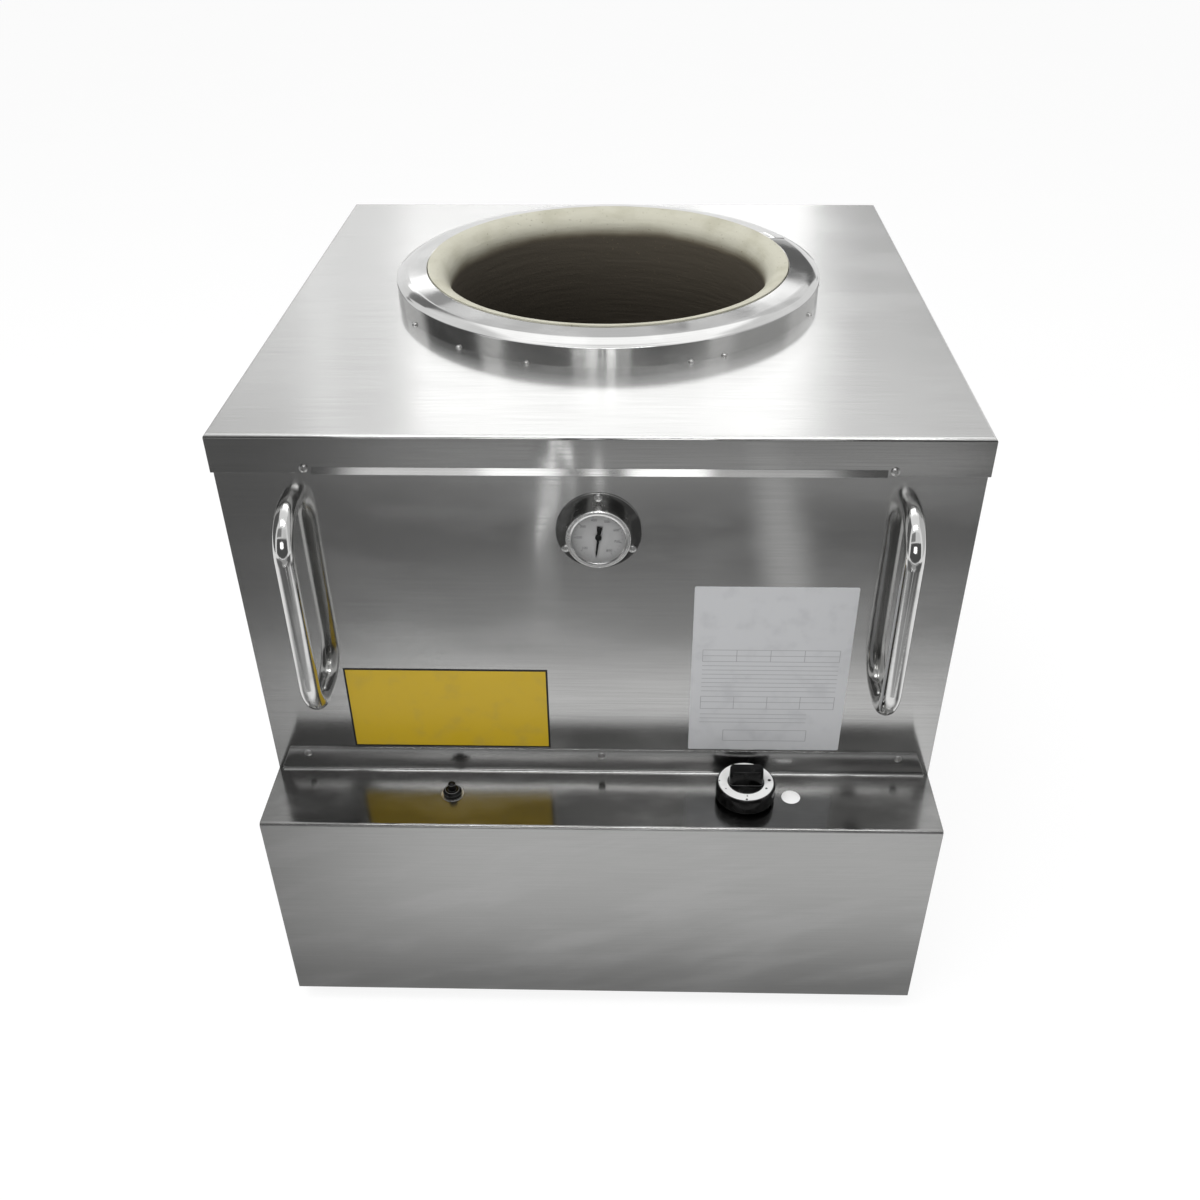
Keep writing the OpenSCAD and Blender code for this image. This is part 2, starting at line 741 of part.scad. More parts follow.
module burner_head() seat() color("#3a3634") translate([0, mouth_back, 0]) {
    wall = 5;
    leg_in = 14;
    leg_r = 7;
    boss_in = 12;
    boss_end = head_r + boss_len;
    boss_r = mixer_r + wall;
    port_rings = [[0.8*head_r, 24], [0.57*head_r, 16]];
    difference() {
        union() {
            translate([0, 0, head_low_z]) cylinder(h = head_h, r = head_r);
            rod([0, boss_in - head_r, burner_z], [0, -boss_end, burner_z], boss_r);
            for (i = [0:2]) rotate(30 + 120*i) translate([0, head_r - leg_in, tray_top_z])
                cylinder(h = head_low_z - tray_top_z + wall, r = leg_r);
        }
        translate([0, 0, head_low_z + wall]) cylinder(h = head_h - 2*wall, r = head_r - wall);
        rod([0, -head_r/2, burner_z], [0, -boss_end - cut, burner_z], mixer_r - mixer_wall);
        rod([0, -head_r - mixer_stop, burner_z], [0, -boss_end - cut, burner_z], mixer_r);
        for (ring = port_rings, i = [0:ring[1] - 1]) rotate(360*(i + 0.5)/ring[1])
            translate([0, ring[0], head_top_z - wall - cut])
                cylinder(h = wall + 2*cut, r = port_r);
    }
}

// Window in the mixing tube or its shutter: two opposite openings, above and below
module air_windows(r, turn = 0) rotate([0, turn, 0])
    for (way = [0, 180]) rotate([0, way, 0]) rotate([-90, 0, 0]) linear_extrude(window_len)
        polygon(concat([[0, 0]], [for (i = [0:4]) let (a = -90 - window_deg/2 + i*window_deg/4)
            [1.4*r*cos(a), 1.4*r*sin(a)]]));

module mixing_tube() seat() color("#4a4645") translate([0, 0, burner_z]) difference() {
    rod([0, mouth_back - head_r - mixer_stop, 0], [0, mixer_end_y, 0], mixer_r);
    rod([0, mouth_back - head_r, 0], [0, mixer_end_y + mixer_plug_t, 0], mixer_r - mixer_wall);
    rod([0, mixer_end_y - cut, 0], [0, mixer_end_y + mixer_plug_t + cut, 0], jet_r);
    translate([0, mixer_end_y + window_back, 0]) air_windows(mixer_r);
}

module air_shutter() seat() color(dull_steel) translate([0, mixer_end_y, burner_z]) {
    wall = 1.6;
    out_r = mixer_r + run_gap + wall;
    start = window_back - (shutter_len - window_len)/2;
    difference() {
        union() {
            rod([0, start, 0], [0, start + shutter_len, 0], out_r);
            block([out_r - 1, start + 2, -1], [out_r + 12, start + 10, 1]);
        }
        rod([0, start - cut, 0], [0, start + shutter_len + cut, 0], mixer_r + run_gap);
        translate([0, window_back, 0]) air_windows(out_r);
    }
}

module gas_jet() seat() color(brass_colour) translate([0, mixer_end_y, burner_z]) difference() {
    shank = mixer_plug_t + 4;
    nozzle = 5;
    union() {
        rod([0, 0, 0], [0, shank, 0], jet_r);
        facing_front(0, 0, 0) cylinder(h = jet_hex_len, r = jet_hex_r, $fn = 6);
        translate([0, shank, 0]) rotate([-90, 0, 0]) cylinder(h = nozzle, r1 = jet_r, r2 = 2.5);
    }
    rod([0, -jet_hex_len - cut, 0], [0, -jet_socket, 0], feed_r);
    rod([0, -jet_socket - cut, 0], [0, shank + nozzle + cut, 0], 1);
}

module flame_deflector() seat() color("#3a3634") translate([0, mouth_back, 0]) {
    edge_t = 4;
    crown = 5;
    rings = 6;
    shelf_room = 22;
    leg_r = 4.5;
    plate_z = shelf_under_z - shelf_room;
    translate([0, 0, plate_z]) rotate_extrude()
        polygon(concat([[0, 0], [deflector_r, 0]], [for (i = [0:rings])
            [deflector_r*(1 - i/rings), edge_t + crown*sin(90*i/rings)]]));
    for (i = [0:2]) rotate(120*i) translate([0, 0.37*head_r, head_top_z])
        cylinder(h = plate_z - head_top_z + edge_t/2, r = leg_r);
}

// ---- Gas line ----

module gas_pipe() seat() color(dark_steel)
    bent_tube([[pipe_x, nipple_y + nipple_socket, burner_z], [pipe_x, control_y, burner_z],
        [knob_x, control_y, burner_z], [knob_x, control_y, valve_bottom_z + pipe_socket]],
        pipe_r, pipe_wall, pipe_bend);

module inlet_nipple() seat() color(dark_steel) translate([pipe_x, 0, burner_z]) {
    relief_y = body_d/2 + locknut_t;
    relief_len = 2;
    relief_depth = 0.6;
    difference() {
        rod([0, nipple_y, 0], [0, inlet_end_y, 0], inlet_r);
        rod([0, nipple_y - cut, 0], [0, nipple_y + nipple_socket, 0], pipe_r);
        rod([0, nipple_y, 0], [0, inlet_end_y + cut, 0], pipe_r - pipe_wall);
        difference() {
            rod([0, relief_y, 0], [0, relief_y + relief_len, 0], inlet_r + cut);
            rod([0, relief_y - cut, 0], [0, relief_y + relief_len + cut, 0],
                inlet_r - relief_depth);
        }
    }
}

module inlet_locknuts() seat() color(dark_steel)
    for (y = [body_d/2 - panel_t, body_d/2 + locknut_t]) facing_front(pipe_x, y, burner_z)
        difference() {
            cylinder(h = locknut_t, r = inlet_r + 8, $fn = 6);
            translate([0, 0, -cut]) cylinder(h = locknut_t + 2*cut, r = inlet_r);
        }

module feed_pipe() seat() color(brass_colour)
    bent_tube([[knob_x - valve_w/2 + socket_len, control_y, feed_z], [0, control_y, feed_z],
        [0, control_y, burner_z], [0, mixer_end_y - jet_socket, burner_z]],
        feed_r, feed_wall, feed_bend);

module gas_valve() seat() color(brass_colour) translate([knob_x, control_y, 0]) difference() {
    union() {
        slab(valve_w, valve_d, valve_bottom_z, valve_top_z);
        translate([0, 0, valve_top_z])
            cylinder(h = box_top_z - box_t - valve_top_z, r = neck_r + 3.5);
        translate([0, 0, valve_top_z]) cylinder(h = box_top_z + neck_out - valve_top_z, r = neck_r);
    }
    translate([0, 0, plug_low_z]) cylinder(h = plug_high_z - plug_low_z, r = plug_r + run_gap);
    translate([0, 0, plug_low_z]) cylinder(h = box_h, r = stem_r + run_gap);
    translate([0, 0, valve_bottom_z - cut]) cylinder(h = pipe_socket + cut, r = pipe_r);
    rod([-valve_w, 0, feed_z], [socket_len - valve_w/2, 0, feed_z], feed_r);
    rod([-valve_w, side_step, pilot_z], [socket_len - valve_w/2, side_step, pilot_z], pilot_tube_r);
    rod([-valve_w, -side_step, pilot_z], [socket_len - valve_w/2, -side_step, pilot_z], couple_r);
}

module valve_nut() seat() color(dull_steel) translate([knob_x, control_y, box_top_z]) difference() {
    cylinder(h = neck_out - 0.5, r = neck_r + 3, $fn = 6);
    translate([0, 0, -cut]) cylinder(h = neck_out + 2*cut, r = neck_r);
}

// Turns in the valve body; the stem slides in its socket
module valve_plug() seat() color(brass_colour) translate([knob_x, control_y, 0]) difference() {
    translate([0, 0, plug_low_z + run_gap])
        cylinder(h = plug_high_z - plug_low_z - 2*run_gap, r = plug_r);
    translate([0, 0, stem_low_z - knob_push - 2]) cylinder(h = box_h, r = stem_r + run_gap);
    rod([0, 0, plug_low_z + 14], [0, -plug_r - cut, plug_low_z + 14], 3);
}

module valve_stem() seat() color(dull_steel)
    translate([knob_x, control_y, stem_low_z]) cylinder(h = stem_top_z - stem_low_z, r = stem_r);

module knob() seat() color(black) translate([knob_x, control_y, knob_z]) {
    bevel = 3.5;
    hub_top = skirt_h + 1;
    grip_r = hub_r - 1;
    flank = [[grip_t/2 + 3, skirt_h - 1], [grip_t/2, skirt_h + 6],
        [grip_t/2 - 0.5, skirt_h + grip_h - 2], [grip_t/2 - 2.5, skirt_h + grip_h]];
    difference() {
        union() {
            rotate_extrude() polygon([[0, 0], [knob_r - 1, 0], [knob_r, 1],
                [knob_r, skirt_h - bevel], [dial_out_r + 0.2, skirt_h], [dial_out_r, skirt_h],
                [dial_out_r, skirt_h - dial_sink], [hub_r, skirt_h - dial_sink], [hub_r, skirt_h],
                [hub_r - 1, hub_top], [0, hub_top]]);
            intersection() {
                cylinder(h = skirt_h + grip_h, r1 = grip_r + 1, r2 = grip_r - 1.5);
                rotate([90, 0, 90]) translate([0, 0, -2*hub_r]) linear_extrude(4*hub_r)
                    polygon(concat([for (p = flank) [-p.x, p.y]], reversed(flank)));
            }
        }
        translate([0, 0, -cut]) cylinder(h = knob_recess + cut, r = neck_r + 5);
        cylinder(h = stem_top_z - knob_z, r = stem_r);
    }
}

module knob_dial() seat() color("white")
    translate([knob_x, control_y, skirt_top_z - dial_sink]) difference() {
        cylinder(h = dial_t, r = dial_out_r);
        translate([0, 0, -cut]) cylinder(h = dial_t + 2*cut, r = hub_r);
    }

// ---- Pilot and ignition ----

module pilot_burner() seat() color(dull_steel) {
    block_y = tip_y - pilot_block_back;
    block_end = block_y + pilot_block_d;
    bracket_x = couple_x + pilot_margin - 2;
    bracket_t = 2;
    bracket_foot = 18;
    nozzle_r = 5.5;
    nozzle_len = 14;
    jet_hole_r = 1.2;
    difference() {
        union() {
            block([couple_x - pilot_margin, block_y, pilot_level - pilot_margin],
                [lead_x + pilot_margin, block_end, lead_level + pilot_margin]);
            block([couple_x - pilot_margin, block_y, tray_top_z],
                [bracket_x, block_y + bracket_t, pilot_level]);
            block([couple_x - pilot_margin, block_y, tray_top_z],
                [bracket_x, block_y + bracket_foot, tray_top_z + bracket_t]);
            rod([pilot_x, block_end, pilot_level], [pilot_x, block_end + nozzle_len, pilot_level],
                nozzle_r);
        }
        rod([pilot_x, block_y - cut, pilot_level],
            [pilot_x, block_y + pilot_block_d/2, pilot_level], pilot_tube_r);
        rod([pilot_x, block_y + pilot_block_d/2 - cut, pilot_level],
            [pilot_x, block_end + nozzle_len + cut, pilot_level], jet_hole_r);
        rod([couple_x, block_y - cut, pilot_level], [couple_x, block_end + cut, pilot_level],
            sleeve_r);
        rod([lead_x, block_y - cut, lead_level], [lead_x, block_end + cut, lead_level],
            electrode_r);
    }
}

module pilot_tube() seat() color("#b4b6b8")
    bent_tube([[knob_x - valve_w/2 + socket_len, control_y + side_step, pilot_z],
        [pilot_x, control_y + side_step, pilot_z], [pilot_x, control_y + side_step, pilot_level],
        [pilot_x, tip_y - pilot_block_back + pilot_block_d/2, pilot_level]],
        pilot_tube_r, pilot_wall, small_bend);

module thermocouple() seat() color(brass_colour) {
    sleeve_y = tip_y - sleeve_len;
    bent_bar([[knob_x - valve_w/2 + socket_len, control_y - side_step, pilot_z],
        [couple_x, control_y - side_step, pilot_z], [couple_x, control_y - side_step, pilot_level],
        [couple_x, sleeve_y, pilot_level]], couple_r, small_bend);
    rod([couple_x, sleeve_y, pilot_level], [couple_x, tip_y, pilot_level], sleeve_r);
    translate([couple_x, tip_y, pilot_level]) sphere(r = sleeve_r);
}

module spark_electrode() seat() color("#efece4") {
    porcelain_end = tip_y - electrode_r;
    wire_r = 1;
    rod([lead_x, tip_y - electrode_len, lead_level], [lead_x, porcelain_end, lead_level],
        electrode_r);
    rod([lead_x, porcelain_end, lead_level], [lead_x, tip_y + tip_over, lead_level], wire_r);
}

module ignition_lead() seat() color("#a8372c")
    bent_bar([[-igniter_x, control_y, box_top_z - box_t - igniter_len],
        [-igniter_x, control_y, lead_level], [lead_x, control_y, lead_level],
        [lead_x, tip_y - electrode_len, lead_level]], lead_r, small_bend);

module igniter_body() seat() color(black) translate([-igniter_x, control_y, 0]) difference() {
    union() {
        translate([0, 0, box_top_z - box_t - igniter_len])
            cylinder(h = igniter_len, r = igniter_case_r);
        translate([0, 0, box_top_z - box_t - 5]) cylinder(h = 5, r = nut_r);
        translate([0, 0, box_top_z - box_t]) cylinder(h = box_t + nut_h, r = igniter_thread_r);
    }
    translate([0, 0, button_low_z - button_push - 1]) cylinder(h = box_h, r = button_r + run_gap);
}

module igniter_nut() seat() color(black) translate([-igniter_x, control_y, box_top_z]) {
    bevel = 3;
    difference() {
        rotate_extrude()
            polygon([[0, 0], [nut_r, 0], [nut_r, nut_h - bevel], [nut_r - bevel, nut_h], [0, nut_h]]);
        translate([0, 0, -cut]) cylinder(h = nut_h + 2*cut, r = igniter_thread_r);
    }
}

module igniter_button() seat() color(black) translate([-igniter_x, control_y, button_low_z]) {
    reach = box_top_z + button_h - button_low_z;
    round_r = button_r*1.25;
    cylinder(h = reach - 2, r = button_r);
    intersection() {
        translate([0, 0, reach - 2]) cylinder(h = 2, r = button_r);
        translate([0, 0, reach - round_r]) sphere(r = round_r);
    }
}

// ---- Control box ----

module upstand_screw_places() for (side = [-1, 0, 1])
    facing_front(side*(body_w/2 - upstand_screw_in), face_y - box_t, box_top_z + 0.73*upstand_h)
        children();

module box_side_profile(depth, height, r) {
    square([depth, height - r]);
    translate([r, 0]) square([depth - r, height]);
    translate([r, height - r]) circle(r = r);
}

module control_box() seat() color(steel) {
    rim = 12;
    difference() {
        translate([-body_w/2, box_front_y, base_z]) rotate([90, 0, 90])
            linear_extrude(body_w) box_side_profile(box_d, box_h, box_bend_r);
        translate([-body_w/2 + box_t, box_front_y + box_t, base_z + box_t]) rotate([90, 0, 90])
            linear_extrude(body_w - 2*box_t)
                box_side_profile(box_d, box_h - 2*box_t, box_bend_r - box_t);
        block([-body_w/2 + rim, box_front_y + rim, base_z - cut],
            [body_w/2 - rim, face_y + cut, base_z + box_t + cut]);
        translate([knob_x, control_y, box_top_z - box_t - cut])
            cylinder(h = box_t + 2*cut, r = neck_r + hole_gap);
        translate([-igniter_x, control_y, box_top_z - box_t - cut])
            cylinder(h = box_t + 2*cut, r = igniter_thread_r + hole_gap);
    }
    half = body_w/2 - upstand_inset;
    difference() {
        translate([0, face_y, box_top_z]) rotate([90, 0, 0]) linear_extrude(box_t)
            polygon([[-half, -box_t], [half, -box_t], [half, 0], [half - upstand_cut, upstand_h],
                [upstand_cut - half, upstand_h], [-half, 0]]);
        upstand_screw_places() translate([0, 0, -box_t - cut])
            cylinder(h = box_t + 2*cut, r = screw_r + hole_gap);
    }
    fillet_half = half - upstand_cut*upstand_bend_r/upstand_h;
    translate([-fillet_half, face_y - box_t, box_top_z]) rotate([90, 0, 90])
        linear_extrude(2*fillet_half) difference() {
            translate([-upstand_bend_r, -box_t/2])
                square([upstand_bend_r + box_t/2, upstand_bend_r + box_t/2]);
            translate([-upstand_bend_r, upstand_bend_r]) circle(r = upstand_bend_r);
        }
}

module control_box_floor() seat() color(dull_steel) {
    floor_t = 1.2;
    edge_gap = 0.5;
    slots = 7;
    slot_pitch = body_w/(slots + 1.7);
    slot_len = 36;
    slot_r = 4;
    difference() {
        block([-body_w/2 + box_t + edge_gap, box_front_y + box_t + edge_gap, base_z + box_t],
            [body_w/2 - box_t - edge_gap, face_y - edge_gap, base_z + box_t + floor_t]);
        for (i = [0:slots - 1])
            translate([(i - (slots - 1)/2)*slot_pitch, box_front_y + box_d/2, base_z])
            slot_x(slot_len, slot_r, box_t - cut, box_t + floor_t + cut);
    }
}

// Round-ended slot along X, cut between two heights
module slot_x(length, r, low_z, high_z) {
    block([-length/2, -r, low_z], [length/2, r, high_z]);
    for (end = [-1, 1]) translate([end*length/2, 0, low_z]) cylinder(h = high_z - low_z, r = r);
}

module upstand_screws() seat() color(steel) upstand_screw_places() pan_screw(box_t + panel_t + 6);

module lip_screws() seat() color(steel) lip_screw_places() pan_screw(pan_t + pan_gap + panel_t + 6);

// ---- Handles ----

module handle_leg_places() for (side = [-1, 1], drop = [0, handle_len])
    facing_front(side*handle_x, face_y, top_z - handle_drop - drop) children();

module handle(side) seat() color(steel) {
    x = side*handle_x;
    high = top_z - handle_drop;
    low = high - handle_len;
    bent_tube([[x, face_y, high], [x, face_y - handle_out, high], [x, face_y - handle_out, low],
        [x, face_y, low]], handle_r, handle_wall, handle_bend);
}

module left_handle() handle(-1);
module right_handle() handle(1);

module handle_inserts() seat() color(dull_steel) handle_leg_places() difference() {
    length = min(insert_len, handle_out - handle_bend);
    cylinder(h = length, r = handle_r - handle_wall);
    translate([0, 0, -cut]) cylinder(h = length + 2*cut, r = bolt_r);
}

module handle_bolts() seat() color(dull_steel) handle_leg_places() {
    length = min(insert_len, handle_out - handle_bend);
    translate([0, 0, -panel_t - 1.6]) cylinder(h = 1.6, r = 9);
    translate([0, 0, -panel_t - 7]) cylinder(h = 5.4, r = 7.5, $fn = 6);
    translate([0, 0, -panel_t - 1.6]) cylinder(h = panel_t + 1.6 + length, r = bolt_r);
}

// ---- Thermometer ----

module flange_screw_places() for (turn = [0, 120, 240])
    facing_front(0, face_y - flange_t, thermo_z) rotate(90 + turn) translate([flange_screw_r, 0, 0])
        children();

module on_thermometer(out = 0) seat() facing_front(0, face_y - out, thermo_z) children();

module thermo_flange() color(steel) {
    edge = 0.8;
    on_thermometer() difference() {
        union() {
            cylinder(h = flange_t - edge, r = flange_r);
            translate([0, 0, flange_t - edge])
                cylinder(h = edge, r1 = flange_r, r2 = flange_r - edge);
        }
        translate([0, 0, -cut]) cylinder(h = flange_t + 2*cut, r = probe_r);
        for (turn = [0, 120, 240]) rotate(90 + turn) translate([flange_screw_r, 0, -cut])
            cylinder(h = flange_t + 2*cut, r = screw_r + hole_gap);
    }
}

module thermo_case() color(steel) on_thermometer(flange_t) {
    depth = case_out - flange_t - bezel_t - glass_t;
    difference() {
        cylinder(h = depth, r = case_r);
        translate([0, 0, 2]) cylinder(h = depth, r = case_r - case_wall);
        translate([0, 0, -cut]) cylinder(h = 5, r = probe_r);
    }
}

module thermo_bezel() color(steel) on_thermometer(case_out - bezel_t - glass_t) rotate_extrude()
    difference() {
        translate([glass_r, 0]) square([case_r - glass_r, glass_t + bezel_t]);
        translate([0, -cut]) square([glass_r + 1.5, glass_t + cut]);
        translate([case_r, glass_t + bezel_t]) rotate(45) square([2.2, 2.2], center = true);
    }

module thermo_glass() color("lightblue", 0.4) on_thermometer(case_out - bezel_t - glass_t)
    cylinder(h = glass_t, r = glass_r + 1.5);

module thermo_dial() color("#c9cac8") on_thermometer(case_out - dial_gap) difference() {
    translate([0, 0, -1]) cylinder(h = 1, r = case_r - case_wall);
    translate([0, 0, -1 - cut]) cylinder(h = 1 + 2*cut, r = shaft_r + run_gap);
}

module thermo_needle() color(black) on_thermometer(case_out - dial_gap + needle_lift)
    rotate(-90 - needle_rest) difference() {
        union() {
            linear_extrude(needle_t) polygon([[0, -1.4], [needle_len*0.8, -0.9], [needle_len, 0],
                [needle_len*0.8, 0.9], [0, 1.4], [-needle_len/2, 3], [-needle_len/2, -3]]);
            cylinder(h = 2, r = hub_out_r);
        }
        translate([0, 0, -cut]) cylinder(h = shaft_grip + cut, r = shaft_r);
    }

module needle_shaft() color(dull_steel) on_thermometer(-shaft_in)
    cylinder(h = shaft_in + case_out - dial_gap + needle_lift + shaft_grip, r = shaft_r);

module thermo_probe() color(steel) seat() {
    neck = 4;
    end_gap = 1;
    front_y = face_y - flange_t - neck;
    difference() {
        rod([0, probe_tip_y(), thermo_z], [0, front_y, thermo_z], probe_r);
        rod([0, face_y + shaft_in + end_gap, thermo_z], [0, front_y - cut, thermo_z],
            shaft_r + run_gap);
    }
}

module thermo_screws() seat() color(steel) flange_screw_places() pan_screw(flange_t + panel_t + 6);

top_pan();
collar_ring();
collar_welds();
neck_seal();
clay_pot();
insulation_fill();
front_panel();
left_panel();
right_panel();
rear_panel();
top_frame();
corner_posts();
base_frame();
base_tray();
base_rails();
shelf_legs();
pot_shelf();
feet();
foot_pads();
burner_box();
burner_head();
mixing_tube();
air_shutter();
gas_jet();
flame_deflector();
feed_pipe();
gas_pipe();
inlet_nipple();
inlet_locknuts();
gas_valve();
valve_nut();
valve_plug();
valve_stem();
knob();
knob_dial();
pilot_burner();
pilot_tube();
thermocouple();
spark_electrode();
ignition_lead();
igniter_body();
igniter_nut();
igniter_button();
control_box();
control_box_floor();
upstand_screws();
lip_screws();
left_handle();
right_handle();
handle_inserts();
handle_bolts();
thermo_flange();
thermo_case();
thermo_bezel();
thermo_glass();
thermo_dial();
thermo_needle();
needle_shaft();
thermo_probe();
thermo_screws();
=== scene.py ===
"""Dresses the packed clay tandoor oven with its finishes, plates and dial print.

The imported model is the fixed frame. Every length here is in metres unless its name ends in
_mm, the front of the oven faces -Y, and the floor is at Z = 0.
"""

import logging
import math
from collections.abc import Iterator, Sequence
from contextlib import contextmanager
from dataclasses import dataclass, field
from enum import Enum

import bmesh
import bpy
from mathutils import Matrix, Vector

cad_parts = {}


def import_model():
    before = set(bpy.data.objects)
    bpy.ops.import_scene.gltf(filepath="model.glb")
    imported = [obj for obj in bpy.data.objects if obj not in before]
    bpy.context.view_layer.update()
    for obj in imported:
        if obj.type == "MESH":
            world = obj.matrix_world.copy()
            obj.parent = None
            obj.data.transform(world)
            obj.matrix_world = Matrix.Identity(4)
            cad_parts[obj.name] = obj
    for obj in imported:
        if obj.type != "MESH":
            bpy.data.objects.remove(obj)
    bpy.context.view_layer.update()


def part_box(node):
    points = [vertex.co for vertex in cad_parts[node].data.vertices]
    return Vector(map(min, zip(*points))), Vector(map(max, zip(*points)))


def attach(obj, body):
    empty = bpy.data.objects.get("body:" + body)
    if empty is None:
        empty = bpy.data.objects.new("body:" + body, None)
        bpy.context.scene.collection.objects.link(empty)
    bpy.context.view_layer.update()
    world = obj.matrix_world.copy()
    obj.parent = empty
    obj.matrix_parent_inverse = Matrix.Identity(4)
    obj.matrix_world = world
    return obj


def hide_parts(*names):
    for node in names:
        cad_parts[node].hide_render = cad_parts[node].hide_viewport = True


LOG = logging.getLogger("tandoor")
MM = 0.001
FULL_TURN = 2 * math.pi


def hex_colour(code: str) -> tuple[float, float, float, float]:
    """Turns an sRGB hex code to Blender's linear colour.

    Args:
        code: a colour such as "#c5c0a8".

    Returns:
        Linear red, green and blue, and an alpha of 1.
    """
    parts = [int(code[i : i + 2], 16) / 255 for i in (1, 3, 5)]
    line = [c / 12.92 if c <= 0.04045 else ((c + 0.055) / 1.055) ** 2.4 for c in parts]
    return (line[0], line[1], line[2], 1.0)


class Grain(Enum):
    """The way in which a sheet was brushed."""

    ALONG_X = "left to right"
    ROUND_POT = "round the mouth of the pot"


# ---------------------------------------------------------------- finishes

Link = float | Sequence[float] | bpy.types.NodeSocket | bpy.types.Node
Links = dict[str | int, Link]

BLACK, WHITE = (0, 0, 0, 1), (1, 1, 1, 1)
# Where in the noise a pattern's clouds begin and are full, when they cover the whole surface.
EVEN = (0.3, 0.7)


def per_mm(*sizes: float) -> tuple[float, ...]:
    """Turns the real sizes of a pattern in millimetres to a texture's scales."""
    return tuple(1 / (size * MM) for size in sizes)


class Tree:
    """A node tree, emptied and built up node by node."""

    def __init__(self, tree: bpy.types.NodeTree) -> None:
        """Empties the tree.

        Args:
            tree: a material's or a world's node tree.
        """
        self.tree = tree
        self.tree.nodes.clear()

    def add(self, kind: str, links: Links | None = None, **settings: object) -> bpy.types.Node:
        """Adds one node.

        Args:
            kind: Blender's name of the node's type.
            links: for each input a plain value, a socket, or a node whose first output it takes.
            settings: the node's own properties.

        Returns:
            The new node.
        """
        node = self.tree.nodes.new(kind)
        for name, value in settings.items():
            setattr(node, name, value)
        self.connect(node, links or {})
        return node

    def connect(self, node: bpy.types.Node, links: Links) -> None:
        """Sets or links a node's inputs.

        Args:
            node: the node.
            links: as add takes them.
        """
        for name, value in links.items():
            if isinstance(value, bpy.types.Node):
                value = next(socket for socket in value.outputs if socket.enabled)
            if isinstance(value, bpy.types.NodeSocket):
                self.tree.links.new(value, node.inputs[name])
            else:
                node.inputs[name].default_value = value

    def seen(self) -> bpy.types.Node:
        """Tells the rays of the camera, of metal and of glass from those of plain light.

        Returns:
            The node that is 1 for those rays and 0 for the rest.
        """
        path = self.add("ShaderNodeLightPath").outputs
        shown = {0: path["Is Camera Ray"], 1: path["Is Glossy Ray"]}
        either = self.add("ShaderNodeMath", shown, operation="MAXIMUM")
        through = {0: either, 1: path["Is Transmission Ray"]}
        return self.add("ShaderNodeMath", through, operation="MAXIMUM")


class Surface(Tree):
    """A material's node tree, with its coordinates and its shader."""

    def __init__(self, name: str) -> None:
        """Starts a material with one shader.

        Args:
            name: the material's name.
        """
        self.material = bpy.data.materials.new(name)
        self.material.use_nodes = True
        super().__init__(self.material.node_tree)
        self.shader = self.add("ShaderNodeBsdfPrincipled")
        self.output = self.add("ShaderNodeOutputMaterial", {"Surface": self.shader})
        self.place = self.add("ShaderNodeTexCoord").outputs["Object"]

    def pattern(
        self,
        sizes_mm: Sequence[float],
        low: float,
        high: float,
        band: tuple[float, float] = (0.38, 0.68),
        detail: float = 3.0,
        at: Link | None = None,
        turn: float = 0.0,
    ) -> bpy.types.Node:
        """A cloudy pattern of a real size, eased between two numbers.

        Args:
            sizes_mm: the size of one cloud along X, Y and Z.
            low: the number between the clouds.
            high: the number inside them.
            band: where in the noise, 0 to 1, the clouds begin and are full.
            detail: how many finer layers it has.
            at: the coordinates, or None for the object's own.
            turn: how far the pattern is turned about Y, in degrees.

        Returns:
            The node that gives the number.
        """
        turned = self.add(
            "ShaderNodeMapping", {0: at or self.place, "Rotation": (0, math.radians(turn), 0)}
        )
        spread = self.add("ShaderNodeMapping", {0: turned, "Scale": per_mm(*sizes_mm)})
        cloud = self.add("ShaderNodeTexNoise", {"Vector": spread, "Scale": 1.0, "Detail": detail})
        return self.add(
            "ShaderNodeMapRange",
            {"Value": cloud, 1: band[0], 2: band[1], 3: low, 4: high},
            interpolation_type="SMOOTHSTEP",
        )


